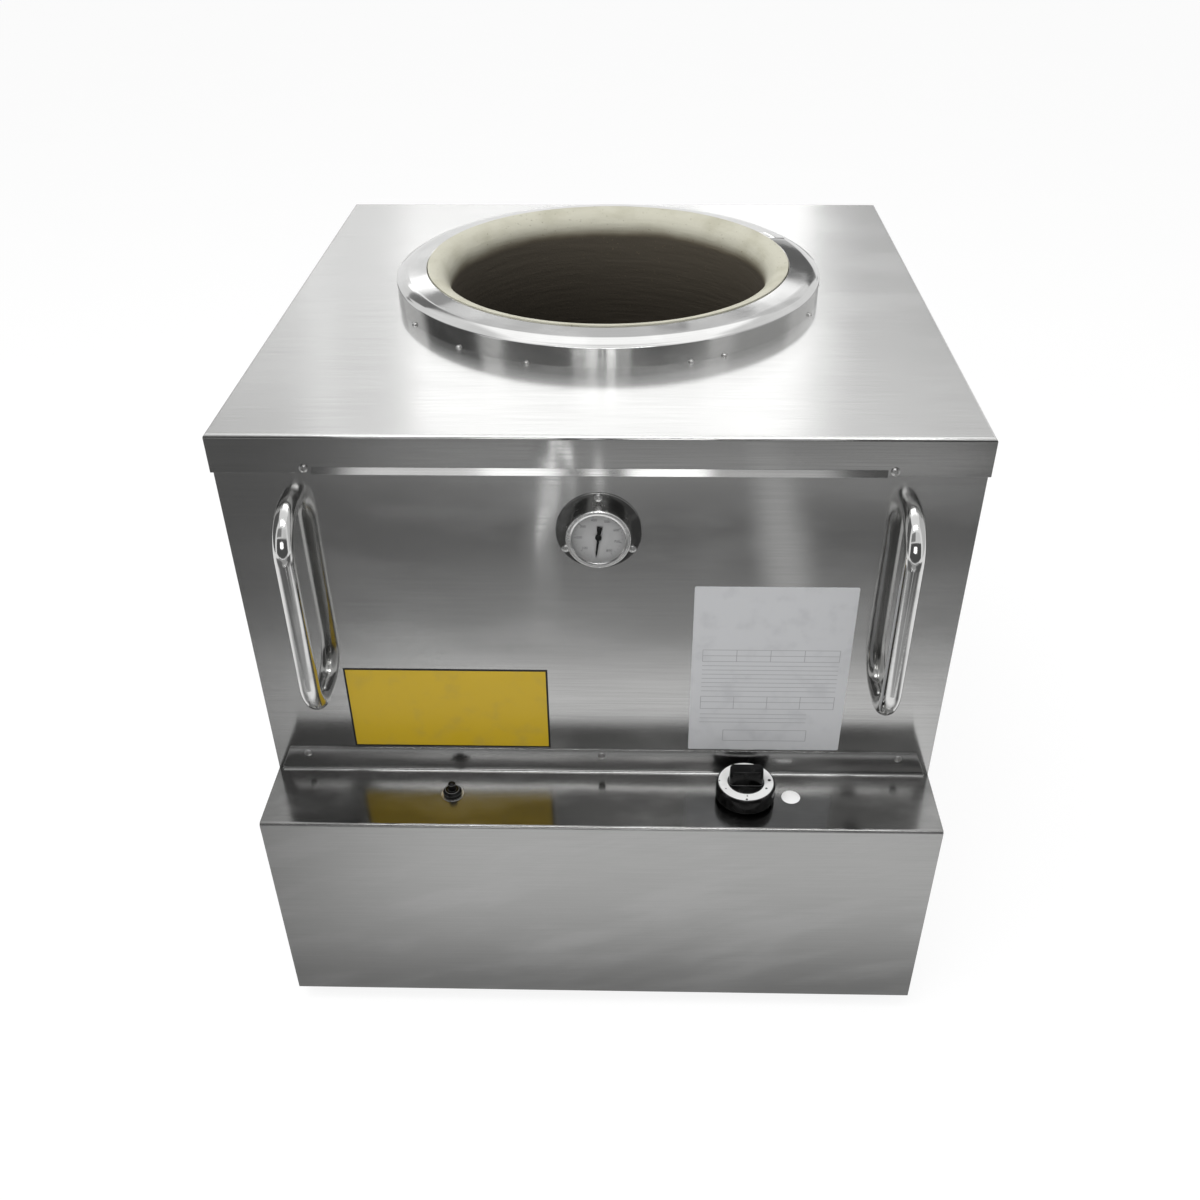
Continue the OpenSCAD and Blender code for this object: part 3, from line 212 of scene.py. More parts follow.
@dataclass(frozen=True)
class BrushedSteel:
    """Stainless steel sheet, belt-ground one way and then wiped by hand.

    The belt leaves fine parallel scratches that draw each reflection out across them, and
    wiping leaves broad streaks that are a little duller.
    """

    name: str
    tone: str
    roughness: float
    grain: Grain = Grain.ALONG_X
    stretch: float = 0.6
    # Belt scratches are about 0.1 mm apart; they are drawn wider so that they show.
    grain_mm: float = 1.1
    grain_length_mm: float = 110.0
    grain_depth_mm: float = 0.0003
    grain_shade: float = 0.07
    grain_roughness: float = 0.02
    wipe_mm: tuple[float, float, float] = (190.0, 90.0, 60.0)
    wipe_turn: float = 0.0
    wipe_roughness: float = 0.07
    wipe_shade: float = 0.12
    # Sheet this thin is never quite flat.
    wave_mm: float = 240.0
    wave_depth_mm: float = 0.5
    # Faces that look up this far have the level finish, where there is one, with its painted top
    # tone.
    level_from: tuple[float, float] = (0.3, 0.8)
    level_roughness: float | None = None
    painted_light_top_tone: str | None = None
    pot_axis: tuple[float, float, float] = (0.0, 0.0, 0.0)
    # Radius at which the length of a scratch round the pot is true.
    arc_r: float = 0.25
    # Faces that look this far sideways are end faces, brushed from front to back.
    end_share: float = 0.7
    # Folded and sheared edges are never knife sharp.
    edge_mm: float = 0.7
    # A flange that stands above this height leans out at its foot and springs back higher up.
    flange_z: float | None = None
    flange_lean: float = 0.03
    flange_curve: float = 126.0
    flange_roughness: float = 0.22
    flange_seam: float = 0.001

    def grain_frame(self, on: Surface) -> tuple[Link, Link]:
        """Coordinates along the grain, and the direction square to it.

        Args:
            on: the material being built.

        Returns:
            The coordinates of the scratches, and the direction that reflections are drawn out.
        """
        facing = on.add("ShaderNodeNewGeometry").outputs["Normal"]
        at = on.place
        if self.grain is Grain.ROUND_POT:
            ends = {0: on.place, 1: self.pot_axis}
            arm = on.add("ShaderNodeVectorMath", ends, operation="SUBTRACT")
            about = {0: (0, 0, 1), 1: arm}
            along = on.add("ShaderNodeVectorMath", about, operation="CROSS_PRODUCT")
            part = on.add("ShaderNodeSeparateXYZ", {0: arm}).outputs
            flat = on.add("ShaderNodeCombineXYZ", {"X": part[0], "Y": part[1]})
            radius = on.add("ShaderNodeVectorMath", {0: flat}, operation="LENGTH").outputs["Value"]
            angle = on.add("ShaderNodeMath", {0: part[1], 1: part[0]}, operation="ARCTAN2")
            run = on.add("ShaderNodeMath", {0: angle, 1: self.arc_r}, operation="MULTIPLY")
            at = on.add("ShaderNodeCombineXYZ", {"X": run, "Y": radius, "Z": part[2]})
        else:
            sideways = on.add("ShaderNodeSeparateXYZ", {0: facing}).outputs[0]
            size = on.add("ShaderNodeMath", {0: sideways}, operation="ABSOLUTE")
            limit = {0: size, 1: self.end_share}
            end_face = on.add("ShaderNodeMath", limit, operation="GREATER_THAN")
            ways = {0: end_face, 4: (1, 0, 0), 5: (0, 1, 0)}
            along = on.add("ShaderNodeMix", ways, data_type="VECTOR")
        across = on.add("ShaderNodeVectorMath", {0: facing, 1: along}, operation="CROSS_PRODUCT")
        return at, across

    def build(self) -> bpy.types.Material:
        """Makes the material.

        Returns:
            The finished material.
        """
        on = Surface(self.name)
        at, across = self.grain_frame(on)
        sizes = (self.grain_length_mm, self.grain_mm, self.grain_mm)
        scratches = on.pattern(sizes, 0.0, 1.0, EVEN, 4.0, at)
        wiped = on.pattern(self.wipe_mm, 0.0, 1.0, (0.42, 0.70), 4.0, turn=self.wipe_turn)
        waves = on.pattern((self.wave_mm,) * 3, 0.0, 1.0, (0.2, 0.8), 1.0)
        height = on.add("ShaderNodeSeparateXYZ", {0: on.place}).outputs[2]
        tone: Link = hex_colour(self.tone)
        roughness: Link = self.roughness
        if self.level_roughness is not None:
            facing = on.add("ShaderNodeNewGeometry").outputs["Normal"]
            up = on.add("ShaderNodeSeparateXYZ", {0: facing}).outputs[2]
            start, full = self.level_from
            level = on.add("ShaderNodeMapRange", {0: up, 1: start, 2: full})
            roughness = on.add("ShaderNodeMix", {0: level, 2: roughness, 3: self.level_roughness})
            # Painted light and shade: upward faces take a painted tone of their own.
            tones = {0: level, 6: tone, 7: hex_colour(self.painted_light_top_tone)}
            tone = on.add("ShaderNodeMix", tones, data_type="RGBA")
        shade = on.add("ShaderNodeMath", {0: scratches, 1: self.grain_shade}, operation="MULTIPLY")
        lined = on.add("ShaderNodeMix", {0: shade, 6: tone, 7: BLACK}, data_type="RGBA")
        bright = on.add("ShaderNodeMath", {0: wiped, 1: self.wipe_shade}, operation="MULTIPLY")
        wear_and_highlight = on.add("ShaderNodeMix", {0: bright, 6: lined, 7: WHITE}, data_type="RGBA")
        streaks = {0: wiped, 1: self.wipe_roughness, 2: roughness}
        duller = on.add("ShaderNodeMath", streaks, operation="MULTIPLY_ADD")
        lines = {0: scratches, 1: self.grain_roughness, 2: duller}
        rough = on.add("ShaderNodeMath", lines, operation="MULTIPLY_ADD")
        edges = on.add("ShaderNodeBevel", {"Radius": self.edge_mm * MM}, samples=4)
        if self.flange_z is not None:
            rise = on.add("ShaderNodeMath", {0: height, 1: self.flange_z}, operation="SUBTRACT")
            above = on.add("ShaderNodeMath", {0: rise, 1: 0.0}, operation="MAXIMUM")
            cubed = on.add("ShaderNodeMath", {0: above, 1: 3.0}, operation="POWER")
            out = on.add("ShaderNodeMath", {0: above, 1: self.flange_lean}, operation="MULTIPLY")
            back = {0: cubed, 1: -self.flange_curve, 2: out}
            lean = on.add("ShaderNodeMath", back, operation="MULTIPLY_ADD")
            edges = on.add("ShaderNodeBump", {"Height": lean, "Distance": 1.0, "Normal": edges})
            seam = {0: rise, 1: self.flange_seam}
            flange = on.add("ShaderNodeMath", seam, operation="GREATER_THAN")
            rough = on.add("ShaderNodeMix", {0: flange, 2: rough, 3: self.flange_roughness})
        sheet = {"Height": waves, "Distance": self.wave_depth_mm * MM, "Normal": edges}
        buckled = on.add("ShaderNodeBump", sheet)
        cuts = {"Height": scratches, "Distance": self.grain_depth_mm * MM, "Normal": buckled}
        on.connect(
            on.shader,
            {
                "Base Color": wear_and_highlight,
                "Roughness": rough,
                "Metallic": 1.0,
                "Anisotropic": self.stretch,
                "Tangent": across,
                "Normal": on.add("ShaderNodeBump", cuts),
            },
        )
        return on.material


@dataclass(frozen=True)
class BuffedSteel:
    """Stainless tube or pressing, buffed bright.

    It mirrors the room, with finger marks that dull it and a few hairlines from wiping.
    """

    name: str
    tone: str
    roughness: float = 0.10
    mark_mm: float = 35.0
    mark_roughness: float = 0.14
    mark_shade: float = 0.22
    hairline_mm: float = 0.9
    hairline_stretch: float = 14
    hairline_depth_mm: float = 0.003
    edge_mm: float = 0.4

    def build(self) -> bpy.types.Material:
        """Makes the material.

        Returns:
            The finished material.
        """
        on = Surface(self.name)
        marks = on.pattern((self.mark_mm,) * 3, 0.0, 1.0, (0.45, 0.75), 4.0)
        hair_length = self.hairline_stretch * self.hairline_mm
        hairs = on.pattern((hair_length, self.hairline_mm, hair_length), 0.0, 1.0)
        shade = on.add("ShaderNodeMath", {0: marks, 1: self.mark_shade}, operation="MULTIPLY")
        tones = {0: shade, 6: hex_colour(self.tone), 7: (0.2, 0.2, 0.2, 1)}
        duller = {0: marks, 1: self.mark_roughness, 2: self.roughness}
        edges = on.add("ShaderNodeBevel", {"Radius": self.edge_mm * MM}, samples=4)
        scored = {"Height": hairs, "Distance": self.hairline_depth_mm * MM, "Normal": edges}
        on.connect(
            on.shader,
            {
                "Base Color": on.add("ShaderNodeMix", tones, data_type="RGBA"),
                "Roughness": on.add("ShaderNodeMath", duller, operation="MULTIPLY_ADD"),
                "Metallic": 1.0,
                "Normal": on.add("ShaderNodeBump", scored),
            },
        )
        return on.material


@dataclass(frozen=True)
class GrainedSkin:
    """The skin of a cast, turned, plated or painted part, with patches of dirt."""

    name: str
    tone: str
    dirt: str
    roughness: float
    metallic: float = 1.0
    skin_mm: float = 1.5
    skin_depth_mm: float = 0.03
    patch_mm: float = 30.0
    dirt_share: float = 0.5
    skin_roughness: float = 0.14
    hollow_gloss: float = 0.05

    def build(self) -> bpy.types.Material:
        """Makes the material.

        Returns:
            The finished material.
        """
        on = Surface(self.name)
        skin = on.pattern((self.skin_mm,) * 3, 0.0, 1.0, EVEN, 4.0)
        dirty = on.pattern((self.patch_mm,) * 3, 0.0, self.dirt_share, (0.42, 0.68), 5.0)
        tones = {0: dirty, 6: hex_colour(self.tone), 7: hex_colour(self.dirt)}
        # The hollows are a little smoother than the finish's own roughness, the peaks duller.
        spread = {0: skin, 1: self.skin_roughness, 2: self.roughness - self.hollow_gloss}
        relief = {"Height": skin, "Distance": self.skin_depth_mm * MM}
        on.connect(
            on.shader,
            {
                "Base Color": on.add("ShaderNodeMix", tones, data_type="RGBA"),
                "Roughness": on.add("ShaderNodeMath", spread, operation="MULTIPLY_ADD"),
                "Metallic": self.metallic,
                "Normal": on.add("ShaderNodeBump", relief),
            },
        )
        return on.material


@dataclass(frozen=True)
class FiredClay:
    """Low-fired pot clay with grit, thrown and smoothed with a wet hand.

    It is cream and chalky round the rim, and painted brown, then near black, further down inside.
    """

    name: str
    rim_z: float
    cream: str = "#bebcad"
    shade: str = "#a5a28f"
    brown_tone: str = "#6f6654"
    deep_tone: str = "#544e44"
    # Below the top of the rim, where the darkening begins and where it is full.
    darken_from_mm: float = 15.0
    black_mm: float = 37.0
    drift_mm: float = 1.5
    # The grit is 1 to 2 mm across, with a few larger specks.
    grit_mm: float = 1.8
    grit_depth_mm: float = 0.06
    speck_mm: float = 3.5
    smear_mm: float = 0.25

    def build(self) -> bpy.types.Material:
        """Makes the material.

        Returns:
            The finished material.
        """
        on = Surface(self.name)
        height = on.add("ShaderNodeSeparateXYZ", {0: on.place}).outputs[2]
        sway = self.drift_mm * MM
        drift = on.pattern((80, 80, 60), -sway, sway, EVEN, 2.0)
        depth = on.add("ShaderNodeMath", {0: self.rim_z, 1: height}, operation="SUBTRACT")
        uneven = on.add("ShaderNodeMath", {0: depth, 1: drift}, operation="ADD")
        patches = on.pattern((50, 50, 22), 0.0, 0.6, (0.40, 0.72), 5.0)
        creams = {0: patches, 6: hex_colour(self.cream), 7: hex_colour(self.shade)}
        mottled = on.add("ShaderNodeMix", creams, data_type="RGBA")
        # Painted darker with depth below the rim: brown first, then near black.
        start, end = self.darken_from_mm * MM, self.black_mm * MM
        middle = (start + end) / 2
        eased = {"interpolation_type": "SMOOTHSTEP"}
        warm = on.add("ShaderNodeMapRange", {0: uneven, 1: start, 2: end}, **eased)
        black = on.add("ShaderNodeMapRange", {0: uneven, 1: middle, 2: end}, **eased)
        browns = {0: warm, 6: mottled, 7: hex_colour(self.brown_tone)}
        browned = on.add("ShaderNodeMix", browns, data_type="RGBA")
        blacks = {0: black, 6: browned, 7: hex_colour(self.deep_tone)}
        deep_darkened = on.add("ShaderNodeMix", blacks, data_type="RGBA")
        grit = on.pattern((self.grit_mm,) * 3, 0.0, 1.0, EVEN)
        specks = on.pattern((self.speck_mm,) * 3, 0.0, 0.55, (0.71, 0.76), 1.0)
        speckled = {0: specks, 6: deep_darkened, 7: hex_colour(self.brown_tone)}
        wiped = on.pattern((70, 70, 8), 0.0, 1.0, EVEN)
        smeared = on.add("ShaderNodeBump", {"Height": wiped, "Distance": self.smear_mm * MM})
        gritty = {"Height": grit, "Distance": self.grit_depth_mm * MM, "Normal": smeared}
        on.connect(
            on.shader,
            {
                "Base Color": on.add("ShaderNodeMix", speckled, data_type="RGBA"),
                "Roughness": on.add("ShaderNodeMapRange", {0: grit, 3: 0.78, 4: 0.95}),
                "Normal": on.add("ShaderNodeBump", gritty),
                "Specular IOR Level": 0.25,
            },
        )
        return on.material


@dataclass(frozen=True)
class MouldedPlastic:
    """Phenolic, ABS or rubber from a mould: a fine eroded texture, lighter and rougher where
    touched.
    """

    name: str
    tone: str
    roughness: float = 0.24
    texture_mm: float = 0.6
    texture_depth_mm: float = 0.01
    gloss: float = 0.5
    # Patches that fingers touch are lighter and rougher.
    touch_mm: float = 14
    touch_gain: float = 1.8
    touch_lift: float = 0.006
    touch_roughness: float = 0.12
    clean_gloss: float = 0.04
    # Edges are painted pale over this radius, a painted highlight, from where the rounded normal
    # leans off.
    painted_highlight_edge_mm: float = 0.0
    painted_highlight_from: tuple[float, float] = (0.995, 0.90)
    painted_highlight_share: float = 0.55
    painted_highlight_tone: str = "#8c8c8c"

    def build(self) -> bpy.types.Material:
        """Makes the material.

        Returns:
            The finished material.
        """
        on = Surface(self.name)
        fine = on.pattern((self.texture_mm,) * 3, 0.0, 1.0, EVEN, 2.0)
        touched = on.pattern((self.touch_mm,) * 3, 0.0, 1.0, (0.45, 0.70))
        base = hex_colour(self.tone)
        raised = (self.touch_gain * part + self.touch_lift for part in base[:3])
        lighter = (*(min(1.0, part) for part in raised), 1.0)
        tone = on.add("ShaderNodeMix", {0: touched, 6: base, 7: lighter}, data_type="RGBA")
        # Painted highlight: a pale tone on the rounded edges.
        if self.painted_highlight_edge_mm > 0:
            blunt = on.add("ShaderNodeBevel", {"Radius": self.painted_highlight_edge_mm * MM}, samples=6)
            facing = on.add("ShaderNodeNewGeometry").outputs["Normal"]
            level = on.add("ShaderNodeVectorMath", {0: blunt, 1: facing}, operation="DOT_PRODUCT")
            start, full = self.painted_highlight_from
            mask = {0: level.outputs["Value"], 1: start, 2: full, 4: self.painted_highlight_share}
            wear_and_highlight = on.add("ShaderNodeMapRange", mask)
            tones = {0: wear_and_highlight, 6: tone, 7: hex_colour(self.painted_highlight_tone)}
            tone = on.add("ShaderNodeMix", tones, data_type="RGBA")
        spread = {0: touched, 1: self.touch_roughness, 2: self.roughness - self.clean_gloss}
        relief = {"Height": fine, "Distance": self.texture_depth_mm * MM}
        on.connect(
            on.shader,
            {
                "Base Color": tone,
                "Roughness": on.add("ShaderNodeMath", spread, operation="MULTIPLY_ADD"),
                "IOR": 1.5,
                "Specular IOR Level": self.gloss,
                "Normal": on.add("ShaderNodeBump", relief),
            },
        )
        return on.material


@dataclass(frozen=True)
class PrintedFilm:
    """Adhesive vinyl or enamel print in one colour, with scuffs and flat bubbles under it."""

    name: str
    tone: str
    wear_and_highlight: str
    roughness: float = 0.38
    scuff_mm: float = 26.0
    scuff_roughness: float = 0.2
    bubble_mm: float = 16.0
    bubble_depth_mm: float = 0.10
    fibre_mm: float = 0.9
    fibre_depth_mm: float = 0.004

    def build(self) -> bpy.types.Material:
        """Makes the material.

        Returns:
            The finished material.
        """
        on = Surface(self.name)
        scuffs = on.pattern((self.scuff_mm,) * 3, 0.0, 0.6, (0.48, 0.74), 6.0)
        fibres = on.pattern((self.fibre_mm,) * 3, 0.0, 1.0)
        bubbles = on.pattern((self.bubble_mm,) * 3, 0.0, 1.0, (0.5, 0.8), 1.0)
        tones = {0: scuffs, 6: hex_colour(self.tone), 7: hex_colour(self.wear_and_highlight)}
        swell = {"Height": bubbles, "Distance": self.bubble_depth_mm * MM}
        lifted = on.add("ShaderNodeBump", swell)
        fine = {"Height": fibres, "Distance": self.fibre_depth_mm * MM, "Normal": lifted}
        duller = {0: scuffs, 1: self.scuff_roughness, 2: self.roughness}
        on.connect(
            on.shader,
            {
                "Base Color": on.add("ShaderNodeMix", tones, data_type="RGBA"),
                "Roughness": on.add("ShaderNodeMath", duller, operation="MULTIPLY_ADD"),
                "IOR": 1.46,
                "Normal": on.add("ShaderNodeBump", fine),
            },
        )
        return on.material


@dataclass(frozen=True)
class GaugeGlass:
    """Flat float glass over the dial: only its reflections and a greasy film show."""

    name: str
    tint: str = "#191b1c"
    ior: float = 1.52
    # Clean and greasy glass.
    film: tuple[float, float] = (0.02, 0.14)
    solid: float = 0.10

    def build(self) -> bpy.types.Material:
        """Makes the material.

        Returns:
            The finished material.
        """
        on = Surface(self.name)
        film = on.pattern((18, 18, 18), *self.film, (0.40, 0.70), 4.0)
        on.connect(on.shader, {"Base Color": hex_colour(self.tint), "Roughness": film})
        on.connect(on.shader, {"IOR": self.ior, "Alpha": self.solid})
        return on.material


@dataclass
class Finishes:
    """Every finish on the oven, built once and shared by the pieces."""

    rim_z: float
    flange_z: float
    pot_axis: tuple[float, float, float]
    made: dict[str, bpy.types.Material] = field(default_factory=dict)

    def steels(self) -> dict[str, BrushedSteel | BuffedSteel | GrainedSkin]:
        """The stainless and plated steels.

        Returns:
            Each finish under its short name.
        """
        return {
            # Thick sheet, ground coarse: its top is painted a lighter tone than its hanging lip, a
            # painted highlight.
            "pan": BrushedSteel(
                "ground_pan_steel", "#adadac", 0.07, stretch=0.9, level_roughness=0.21,
                painted_light_top_tone="#cacac9", wipe_roughness=0.03, wipe_shade=0.06, wave_depth_mm=0.5,
                wave_mm=170,
            ),
            # Thin sheet, fine ground: it mirrors the floor in a soft upright blur.
            "front": BrushedSteel(
                "fine_ground_front_steel", "#b4b4b3", 0.09, stretch=1.0, wipe_roughness=0.03,
                wipe_shade=0.05, wave_depth_mm=0.8, wave_mm=200,
            ),
            "side": BrushedSteel(
                "ground_side_steel", "#b2b2b1", 0.26, stretch=0.8, wipe_roughness=0.05,
                wipe_shade=0.04,
            ),
            # The cover is handled most: slanting wipe marks on its front, and a level top that
            # is worn smoother, with a darker tone painted on it as painted shade.
            "box": BrushedSteel(
                "wiped_box_steel", "#aeaead", 0.30, stretch=0.5, wipe_mm=(170.0, 60.0, 40.0),
                wipe_turn=16.0, wipe_roughness=0.08, wipe_shade=0.10, level_roughness=0.13,
                painted_light_top_tone="#7c7c7b", wave_depth_mm=0.7, wave_mm=170, flange_z=self.flange_z,
            ),
            "collar": BrushedSteel(
                "spun_collar_steel", "#c8c8c7", 0.06, Grain.ROUND_POT, 0.2,
                grain_shade=0.05, wipe_mm=(50.0, 50.0, 30.0), wipe_roughness=0.07,
                wave_depth_mm=0.25, wave_mm=80, pot_axis=self.pot_axis,
            ),
            "handle": BuffedSteel("buffed_handle_steel", "#d1d1d0", 0.07),
            "gauge": BuffedSteel("pressed_gauge_steel", "#d8d8d7", 0.18, 12.0),
            # The flange is the case's steel with a dark tone painted on: painted shade of the dark
            # room it mirrors.
            "flange": BuffedSteel("dark_painted_flange_steel", "#666665", 0.14, 12.0),
            "screw": GrainedSkin("turned_screw_steel", "#c4c4c3", "#8a8a89", 0.24, skin_mm=0.5),
            "weld": GrainedSkin(
                "weld_steel", "#c4c4c3", "#8b8986", 0.38, skin_mm=0.9, patch_mm=5
            ),
            # Hot-dip zinc leaves crystals 5 to 10 mm wide.
            "frame": GrainedSkin(
                "galvanised_frame_steel", "#8d9194", "#6c6f71", 0.48, skin_mm=6, patch_mm=14
            ),
            "foot": GrainedSkin(
                "painted_foot_steel", "#4a4d50", "#2d2f31", 0.5, metallic=0.0, skin_mm=1.0
            ),
        }

    def others(
        self,
    ) -> dict[str, FiredClay | GrainedSkin | MouldedPlastic | PrintedFilm | GaugeGlass]:
        """The clay, the other metals, the plastics and the prints.

        Returns:
            Each finish under its short name.
        """
        film = PrintedFilm
        return {
            "clay": FiredClay("fired_pot_clay", self.rim_z),
            # Needled ceramic wool, matted and slightly browned.
            "fibre": GrainedSkin(
                "ceramic_fibre", "#e3dfd2", "#c4bda8", 0.95, metallic=0.0, skin_mm=1.8,
                skin_depth_mm=0.6,
            ),
            # Sand-cast iron with patches of rust.
            "iron": GrainedSkin(
                "cast_burner_iron", "#3b3836", "#5b4334", 0.68, metallic=0.6, skin_mm=1.2,
                skin_depth_mm=0.15,
            ),
            "brass": GrainedSkin("turned_brass", "#c4a158", "#7b6236", 0.30, skin_mm=0.7),
            "aluminium": GrainedSkin("drawn_aluminium_tube", "#c3c5c7", "#95979a", 0.34),
            # Its rounded edges take a pale painted highlight.
            "black": MouldedPlastic(
                "moulded_black_phenolic", "#040404", 0.17, gloss=0.16, painted_highlight_edge_mm=0.7
            ),
            "pad": MouldedPlastic("black_pad_rubber", "#1b1b1c", 0.78, 1.2, 0.05),
            "jacket": MouldedPlastic("silicone_lead_jacket", "#9c3428", 0.46),
            "porcelain": MouldedPlastic("glazed_porcelain", "#e9e5da", 0.14, 2.0),
            "dial": film("enamelled_dial_plate", "#cccccc", "#b9b9b9", 0.45, bubble_depth_mm=0.0),
            "ring": film("printed_knob_ring", "#e9e9e8", "#cfcfcd", 0.30, bubble_depth_mm=0.0),
            "ink": film("black_ink", "#121212", "#2c2c2c", 0.45, bubble_depth_mm=0.0),
            "faint_ink": film("faded_ink", "#6f6f6f", "#868686", 0.45, bubble_depth_mm=0.0),
            "rule_ink": film("grey_rule_ink", "#9b9c9f", "#adaeb0", 0.45, bubble_depth_mm=0.0),
            "yellow": film("yellow_vinyl", "#c8a81e", "#b99d36", 0.34),
            "paper": film("grey_white_vinyl", "#c6c7c9", "#b6b7ba", 0.36),
            "sticker": film("white_dot_vinyl", "#f6f6f5", "#ececeb", 0.40),
            "needle": GrainedSkin(
                "painted_needle", "#070707", "#101011", 0.85, metallic=0.0, skin_mm=1.0
            ),
            "glass": GaugeGlass("gauge_glass"),
        }

    def build(self) -> None:
        """Builds all the materials under short names."""
        for key, recipe in (self.steels() | self.others()).items():
            self.made[key] = recipe.build()

    def dress(self, **nodes: Sequence[str]) -> None:
        """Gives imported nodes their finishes.

        Args:
            nodes: for each finish's short name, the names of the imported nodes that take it.
        """
        for key, names in nodes.items():
            for name in names:
                mesh = bpy.data.objects[name].data
                mesh.materials.clear()
                mesh.materials.append(self.made[key])
                LOG.info("%s: %s", name, self.made[key].name)


# ---------------------------------------------------------------- modelling


class Bench:
    """Blender's modelling operators, each used on one active piece."""

    @staticmethod
    def clear() -> None:
        """Deselects everything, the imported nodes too."""
        bpy.ops.object.select_all(action="DESELECT")

    @staticmethod
    def take(piece: bpy.types.Object) -> None:
        """Makes one piece the only selected and the active one.

        Args:
            piece: the piece.
        """
        Bench.clear()
        piece.select_set(True)
        bpy.context.view_layer.objects.active = piece

    @staticmethod
    def name(label: str) -> bpy.types.Object:
        """Names the primitive just added and puts its place into its mesh.

        Args:
            label: the piece's name.

        Returns:
            The piece.
        """
        piece = bpy.context.object
        piece.name = label
        piece.data.name = label
        bpy.ops.object.transform_apply(location=True, rotation=True, scale=True)
        return piece

    @staticmethod
    def plane(
        label: str,
        size: Sequence[float],
        place: Sequence[float] = (0, 0, 0),
        turn: Sequence[float] = (0, 0, 0),
    ) -> bpy.types.Object:
        """Adds a flat rectangle.

        Args:
            label: the piece's name.
            size: its width and height.
            place: its centre.
            turn: how far it is turned about X, Y and Z, in radians.

        Returns:
            The rectangle.
        """
        Bench.clear()
        bpy.ops.mesh.primitive_plane_add(size=1, location=place, rotation=turn)
        bpy.context.object.scale = (*size, 1)
        return Bench.name(label)

    @staticmethod
    @contextmanager
    def editing(
        piece: bpy.types.Object, mode: str = "FACE", action: str = "DESELECT"
    ) -> Iterator[bmesh.types.BMesh]:
        """Opens a piece in edit mode.

        Args:
            piece: the piece.
            mode: VERT, EDGE or FACE.
            action: SELECT to start with everything selected, or DESELECT with nothing.

        Yields:
            The piece's editable mesh.
        """
        Bench.take(piece)
        bpy.ops.object.mode_set(mode="EDIT")
        bpy.ops.mesh.select_mode(type=mode)
        bpy.ops.mesh.select_all(action=action)
        yield bmesh.from_edit_mesh(piece.data)
        bpy.ops.object.mode_set(mode="OBJECT")

    @staticmethod
    def close_up(piece: bpy.types.Object) -> None:
        """Merges doubled points and turns every face outwards.

        Args:
            piece: the piece.
        """
        with Bench.editing(piece, "VERT", "SELECT"):
            bpy.ops.mesh.remove_doubles(threshold=1e-6)
            bpy.ops.mesh.normals_make_consistent(inside=False)

    @staticmethod
    def modify(piece: bpy.types.Object, kind: str, **settings: object) -> None:
        """Adds a modifier and applies it.

        Args:
            piece: the piece.
            kind: Blender's name of the modifier's type.
            settings: the modifier's properties.
        """
        Bench.take(piece)
        added = piece.modifiers.new(kind.lower(), kind)
        for name, value in settings.items():
            setattr(added, name, value)
        bpy.ops.object.modifier_apply(modifier=added.name)

    @staticmethod
    def round_edges(piece: bpy.types.Object, radius: float, segments: int = 3) -> None:
        """Rounds the sharp edges and shades the piece smooth.

        Args:
            piece: the piece.
            radius: the rounding's radius.
            segments: how many faces go round it.
        """
        Bench.modify(
            piece, "BEVEL", width=radius, segments=segments, limit_method="ANGLE",
            angle_limit=math.radians(32), use_clamp_overlap=True,
        )
        Bench.smooth(piece)

    @staticmethod
    def smooth(piece: bpy.types.Object, degrees: float = 38) -> None:
        """Shades a piece smooth where its faces meet at less than an angle."""
        Bench.take(piece)
        bpy.ops.object.shade_smooth_by_angle(angle=math.radians(degrees))

    @staticmethod
    def lathe(
        label: str, profile: Sequence[tuple[float, float]], centre: Vector, steps: int = 96
    ) -> bpy.types.Object:
        """Turns a profile about a standing axis.

        Args:
            label: the piece's name.
            profile: radius and height of each point, closed by the last being the first.
            centre: the axis' foot; heights are measured from it.
            steps: how many faces go round.

        Returns:
            The turned piece.
        """
        Bench.clear()
        points = [centre + Vector((radius, 0, height)) for radius, height in profile]
        bpy.ops.mesh.primitive_plane_add(size=MM, location=points[0])
        piece = Bench.name(label)
        with Bench.editing(piece, "VERT", "SELECT"):
            bpy.ops.mesh.merge(type="CENTER")
            for before, after in zip(points, points[1:]):
                bpy.ops.mesh.extrude_region_move(
                    TRANSFORM_OT_translate={"value": after - before}
                )
            bpy.ops.mesh.select_all(action="SELECT")
            bpy.ops.mesh.spin(steps=steps, angle=FULL_TURN, center=centre, axis=(0, 0, 1))
        Bench.close_up(piece)
        Bench.smooth(piece)
        return piece

    @staticmethod
    def face_front(piece: bpy.types.Object, centre: Vector) -> None:
        """Turns a flat piece made on the XY plane to face -Y, and moves it to its place.

        Args:
            piece: the piece, modelled about the origin.
            centre: where its origin goes.
        """
        Bench.take(piece)
        piece.matrix_world = Matrix.Translation(centre) @ Matrix.Rotation(math.pi / 2, 4, "X")
        bpy.ops.object.transform_apply(location=True, rotation=True, scale=True)

    @staticmethod
    def join(label: str, parts: Sequence[bpy.types.Object]) -> bpy.types.Object:
        """Joins several pieces into one.

        Args:
            label: the joined piece's name.
            parts: the pieces.

        Returns:
            The joined piece.
        """
        Bench.clear()
        for part in parts:
            part.select_set(True)
        bpy.context.view_layer.objects.active = parts[0]
        bpy.ops.object.join()
        return Bench.name(label)

    @staticmethod
    def finish(
        piece: bpy.types.Object, body: str, slot: str, material: bpy.types.Material
    ) -> bpy.types.Object:
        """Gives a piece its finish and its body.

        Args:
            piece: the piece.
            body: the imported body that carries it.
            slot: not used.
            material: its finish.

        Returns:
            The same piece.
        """
        if not piece.data.materials:
            piece.data.materials.append(material)
        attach(piece, body)
        LOG.info("%s rides on %s: %d faces", piece.name, body, len(piece.data.polygons))
        return piece


# ---------------------------------------------------------------- sub-assemblies


